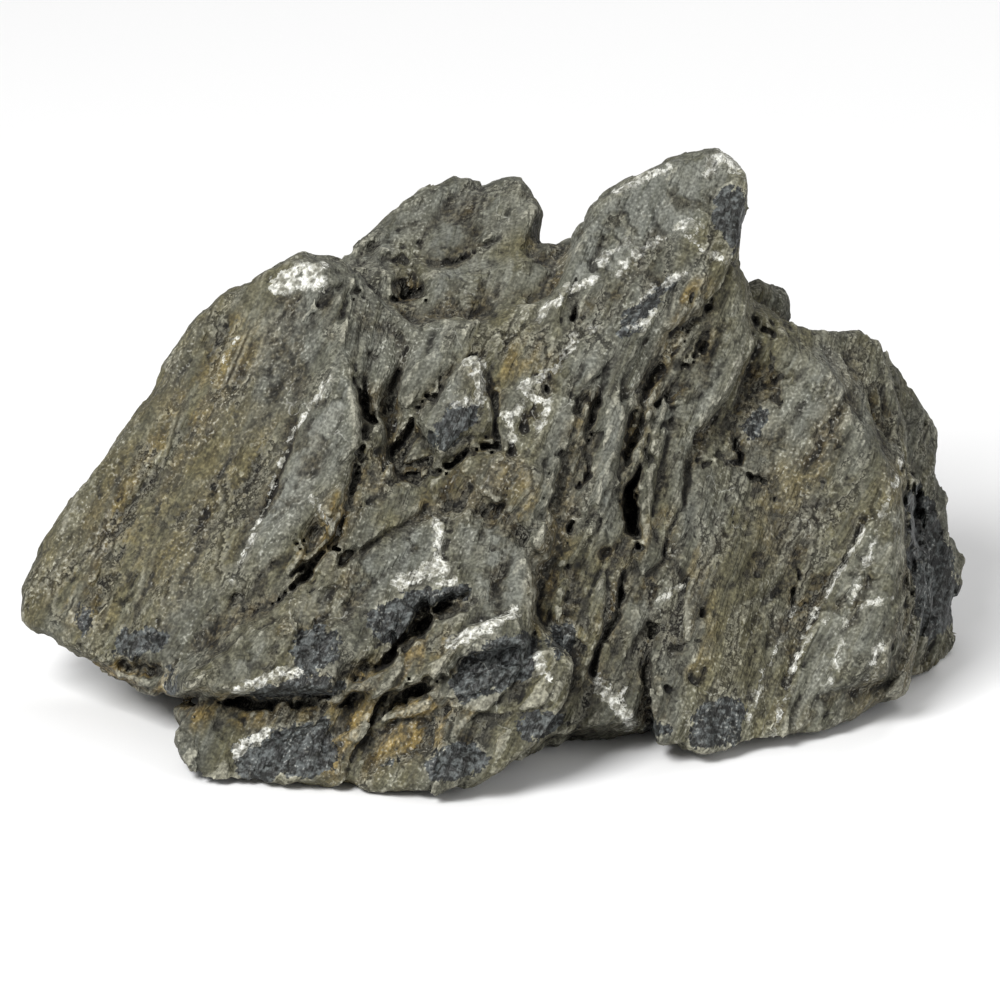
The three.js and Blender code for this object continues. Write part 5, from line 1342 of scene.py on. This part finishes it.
# each small flake has a tone of its own, and here and there an open border with painted shade in the
# crack and a painted highlight on its paler lip
FLAKE_DARKER = tint(118, 117, 112)
FLAKE_PALER = (1.06, 1.06, 1.05, 1)
CRACK_WIDTH = 0.09
LIP_WIDTH = 0.2
flake_tone = blend(times(plus(chips, splits), 0.5), FLAKE_DARKER, FLAKE_PALER)
colour = blend(times(weathered, 0.55), colour, flake_tone, "MULTIPLY")
cracked = rise(noise(in_beds(20.0, 14.0, 8.0), 1.0, 2.0, 0.6), 0.48, 0.6)
cracked = times(up_to_one(plus(cracked, times(crumbly, 0.6))), weathered)
crack_shade = times(rise(split_border, CRACK_WIDTH, 0.0), cracked)
# painted highlight: the paler lip along the crack's edge
lip_highlight = times(rise(split_border, LIP_WIDTH, CRACK_WIDTH), rest_of(crack_shade), cracked)
colour = blend(times(lip_highlight, 0.3), colour, RUBBED_AND_HIGHLIGHT)

# fresh breaks, blue-black, with a ragged border that is rubbed paler in places
FRESH_BLACK = tint(34, 36, 37)
FRESH_GREY = tint(84, 88, 88)
break_edge = shaken(shaken(mark("dark"), torn, 4.0), fine, 1.0)
break_edge = shaken(shaken(break_edge, splits, 1.4), chips, 0.8)
fresh_break = rise(break_edge, 0.12, -0.12)
fresh_slate = blend(rise(fine, 0.42, 0.62), FRESH_BLACK, FRESH_GREY)
colour = blend(times(fresh_break, 0.94), colour, fresh_slate)
outline = times(rise(break_edge, 0.9, 0.4), rise(break_edge, -0.1, 0.2), rise(mottle, 0.46, 0.58))
colour = blend(times(outline, 0.4), colour, RUBBED_AND_HIGHLIGHT)

# calcite: the marked seams, broken up by crumbs, hairline veins across the beds, and specks
CALCITE_STAINED = tint(176, 175, 162)
CALCITE_WHITE = tint(228, 228, 220)
VEIN_SPACING = 28.0
seam_edge = shaken(shaken(mark("calcite"), torn, 5.5), fine, 1.8)
seam = times(rise(seam_edge, 0.4, 0.0), rise(shaken(crumbs, chips, 0.16), 0.24, 0.4))
seam = times(seam, plus(times(rise(shaken(mottle, fine, 0.6), 0.34, 0.6), 0.55), 0.45))
across = in_beds(VEIN_SPACING, VEIN_SPACING, VEIN_SPACING)
across = add("SeparateXYZ", [(0, across)]).outputs[0]
vein = worked("PINGPONG", shaken(shaken(across, broad, 2.0), mottle, 0.3), 0.5)
vein = times(rise(vein, 0.008, 0.002), rise(cloud, 0.5, 0.56), rise(fine, 0.38, 0.5))
speck = times(rise(grain, 0.62, 0.68), rise(bands, 0.46, 0.62))
white = larger(times(seam, 0.95), times(vein, 0.22), times(speck, 0.2))
colour = blend(white, colour, blend(rise(fine, 0.35, 0.6), CALCITE_STAINED, CALCITE_WHITE))

# fine dark and light grain all over; painted shade in the low parts of the fine relief and painted
# light on its tops; painted shade in the open cracks and in small black pores
GRAIN_DARKER = tint(142, 142, 140)
GRAIN_PALER = (1.2, 1.2, 1.2, 1)
FINE_SHADE = tint(162, 159, 150)
FINE_TOP_LIGHT = (1.18, 1.18, 1.18, 1)
grain_tone = blend(rise(grain, 0.32, 0.68), GRAIN_DARKER, GRAIN_PALER)
colour = blend(0.5, colour, grain_tone, "MULTIPLY")
# painted shade and light that follow the fine noise, which is also the relief's height
fine_light_and_shade = blend(rise(fine, 0.34, 0.66), FINE_SHADE, FINE_TOP_LIGHT)
colour = blend(times(weathered, 0.5), colour, fine_light_and_shade, "MULTIPLY")
# painted shade: black in the open cracks between flakes
colour = blend(times(crack_shade, 0.62), colour, CREASE_SHADE)
# painted shade: black pores where the fine relief is lowest
pore_shade = times(rise(fine, 0.3, 0.24), patchy)
colour = blend(times(pore_shade, 0.8), colour, CREASE_SHADE)

# the relief that is too fine for the mesh: small flakes, the beds' edges, and crumbs where the
# stone is hollow; a height of 1 stands RELIEF metres proud
RELIEF = 0.0022
steps = plus(times(chips, 0.45), times(splits, 0.7))
steps = times(steps, plus(times(weathered, 0.8), 0.2))
loose = plus(times(deep, 0.7), 0.35)
relief = plus(steps, times(beds, 0.5), times(crumbs, loose, 1.3), times(fine, loose, 0.6))
bump = add("Bump", [("Strength", 1.0), ("Distance", RELIEF), ("Height", relief)]).outputs[0]

# dull stone, with a little more gloss on the fresh breaks
roughness = plus(times(fresh_break, -0.25), times(fine, 0.12), 0.74)
shader = add("BsdfPrincipled", [
    ("Base Color", colour),
    ("Roughness", roughness),
    ("Specular IOR Level", 0.35),
    ("Normal", bump),
])
add("OutputMaterial", [("Surface", shader.outputs[0])])
slate.data.materials.append(slate_material)
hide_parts("stone")
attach(slate, "root")

# The stone lies on a plain pale floor.
FLOOR_REACH = 3.0
floor = bpy.data.objects.new("floor", bpy.data.meshes.new("floor"))
floor_corners = FLOOR_REACH * np.array([(-1, -1, 0), (1, -1, 0), (1, 1, 0), (-1, 1, 0)])
floor.data.from_pydata(floor_corners.tolist(), [], [(0, 1, 2, 3)])
bpy.context.scene.collection.objects.link(floor)
floor_material = bpy.data.materials.new("floor")
floor_material.use_nodes = True
floor_shader = floor_material.node_tree.nodes["Principled BSDF"]
floor_shader.inputs["Base Color"].default_value = (0.86, 0.86, 0.86, 1)
floor_shader.inputs["Roughness"].default_value = 0.9
floor.data.materials.append(floor_material)

# Soft studio light: a broad lamp high on the left in front, a weaker one on the right, and an
# even pale surrounding.
LAMPS = [
    # name, place in metres, width in metres, watts
    ("key lamp", (-0.55, -0.75, 0.95), 0.55, 20.0),
    ("fill lamp", (0.9, -0.6, 0.45), 0.7, 3.0),
    ("back lamp", (0.3, 0.8, 0.9), 0.6, 4.0),
]
STONE_HEART = Vector((0.0, 0.0, 0.045))
SURROUND_LIGHT = 0.38
for name, at, width, watts in LAMPS:
    lamp = bpy.data.objects.new(name, bpy.data.lights.new(name, "AREA"))
    lamp.data.energy = watts
    lamp.data.size = width
    lamp.location = at
    lamp.rotation_euler = (STONE_HEART - Vector(at)).to_track_quat("-Z", "Y").to_euler()
    bpy.context.scene.collection.objects.link(lamp)
surround = bpy.data.worlds.new("surround")
surround.use_nodes = True
surround.node_tree.nodes["Background"].inputs["Color"].default_value = (1, 1, 1, 1)
surround.node_tree.nodes["Background"].inputs["Strength"].default_value = SURROUND_LIGHT
bpy.context.scene.world = surround
bpy.context.scene.view_settings.view_transform = "Standard"

# The camera looks down at the leaning face from 2 m in front of it.
CAMERA_AT = 2.0
CAMERA_AIM = Vector((0.0008, 0.00202, 0.04084))
VIEW_WIDTH = 0.2
camera = bpy.data.objects.new("camera", bpy.data.cameras.new("camera"))
camera.data.sensor_width = 36
camera.data.lens = 36 * CAMERA_AT / VIEW_WIDTH
camera.data.clip_end = 100
toward_eye = Vector((0, -lean_cos, lean_sin))
camera.location = CAMERA_AIM + toward_eye * CAMERA_AT
camera.rotation_euler = (-toward_eye).to_track_quat("-Z", "Y").to_euler()
bpy.context.scene.collection.objects.link(camera)
bpy.context.scene.camera = camera
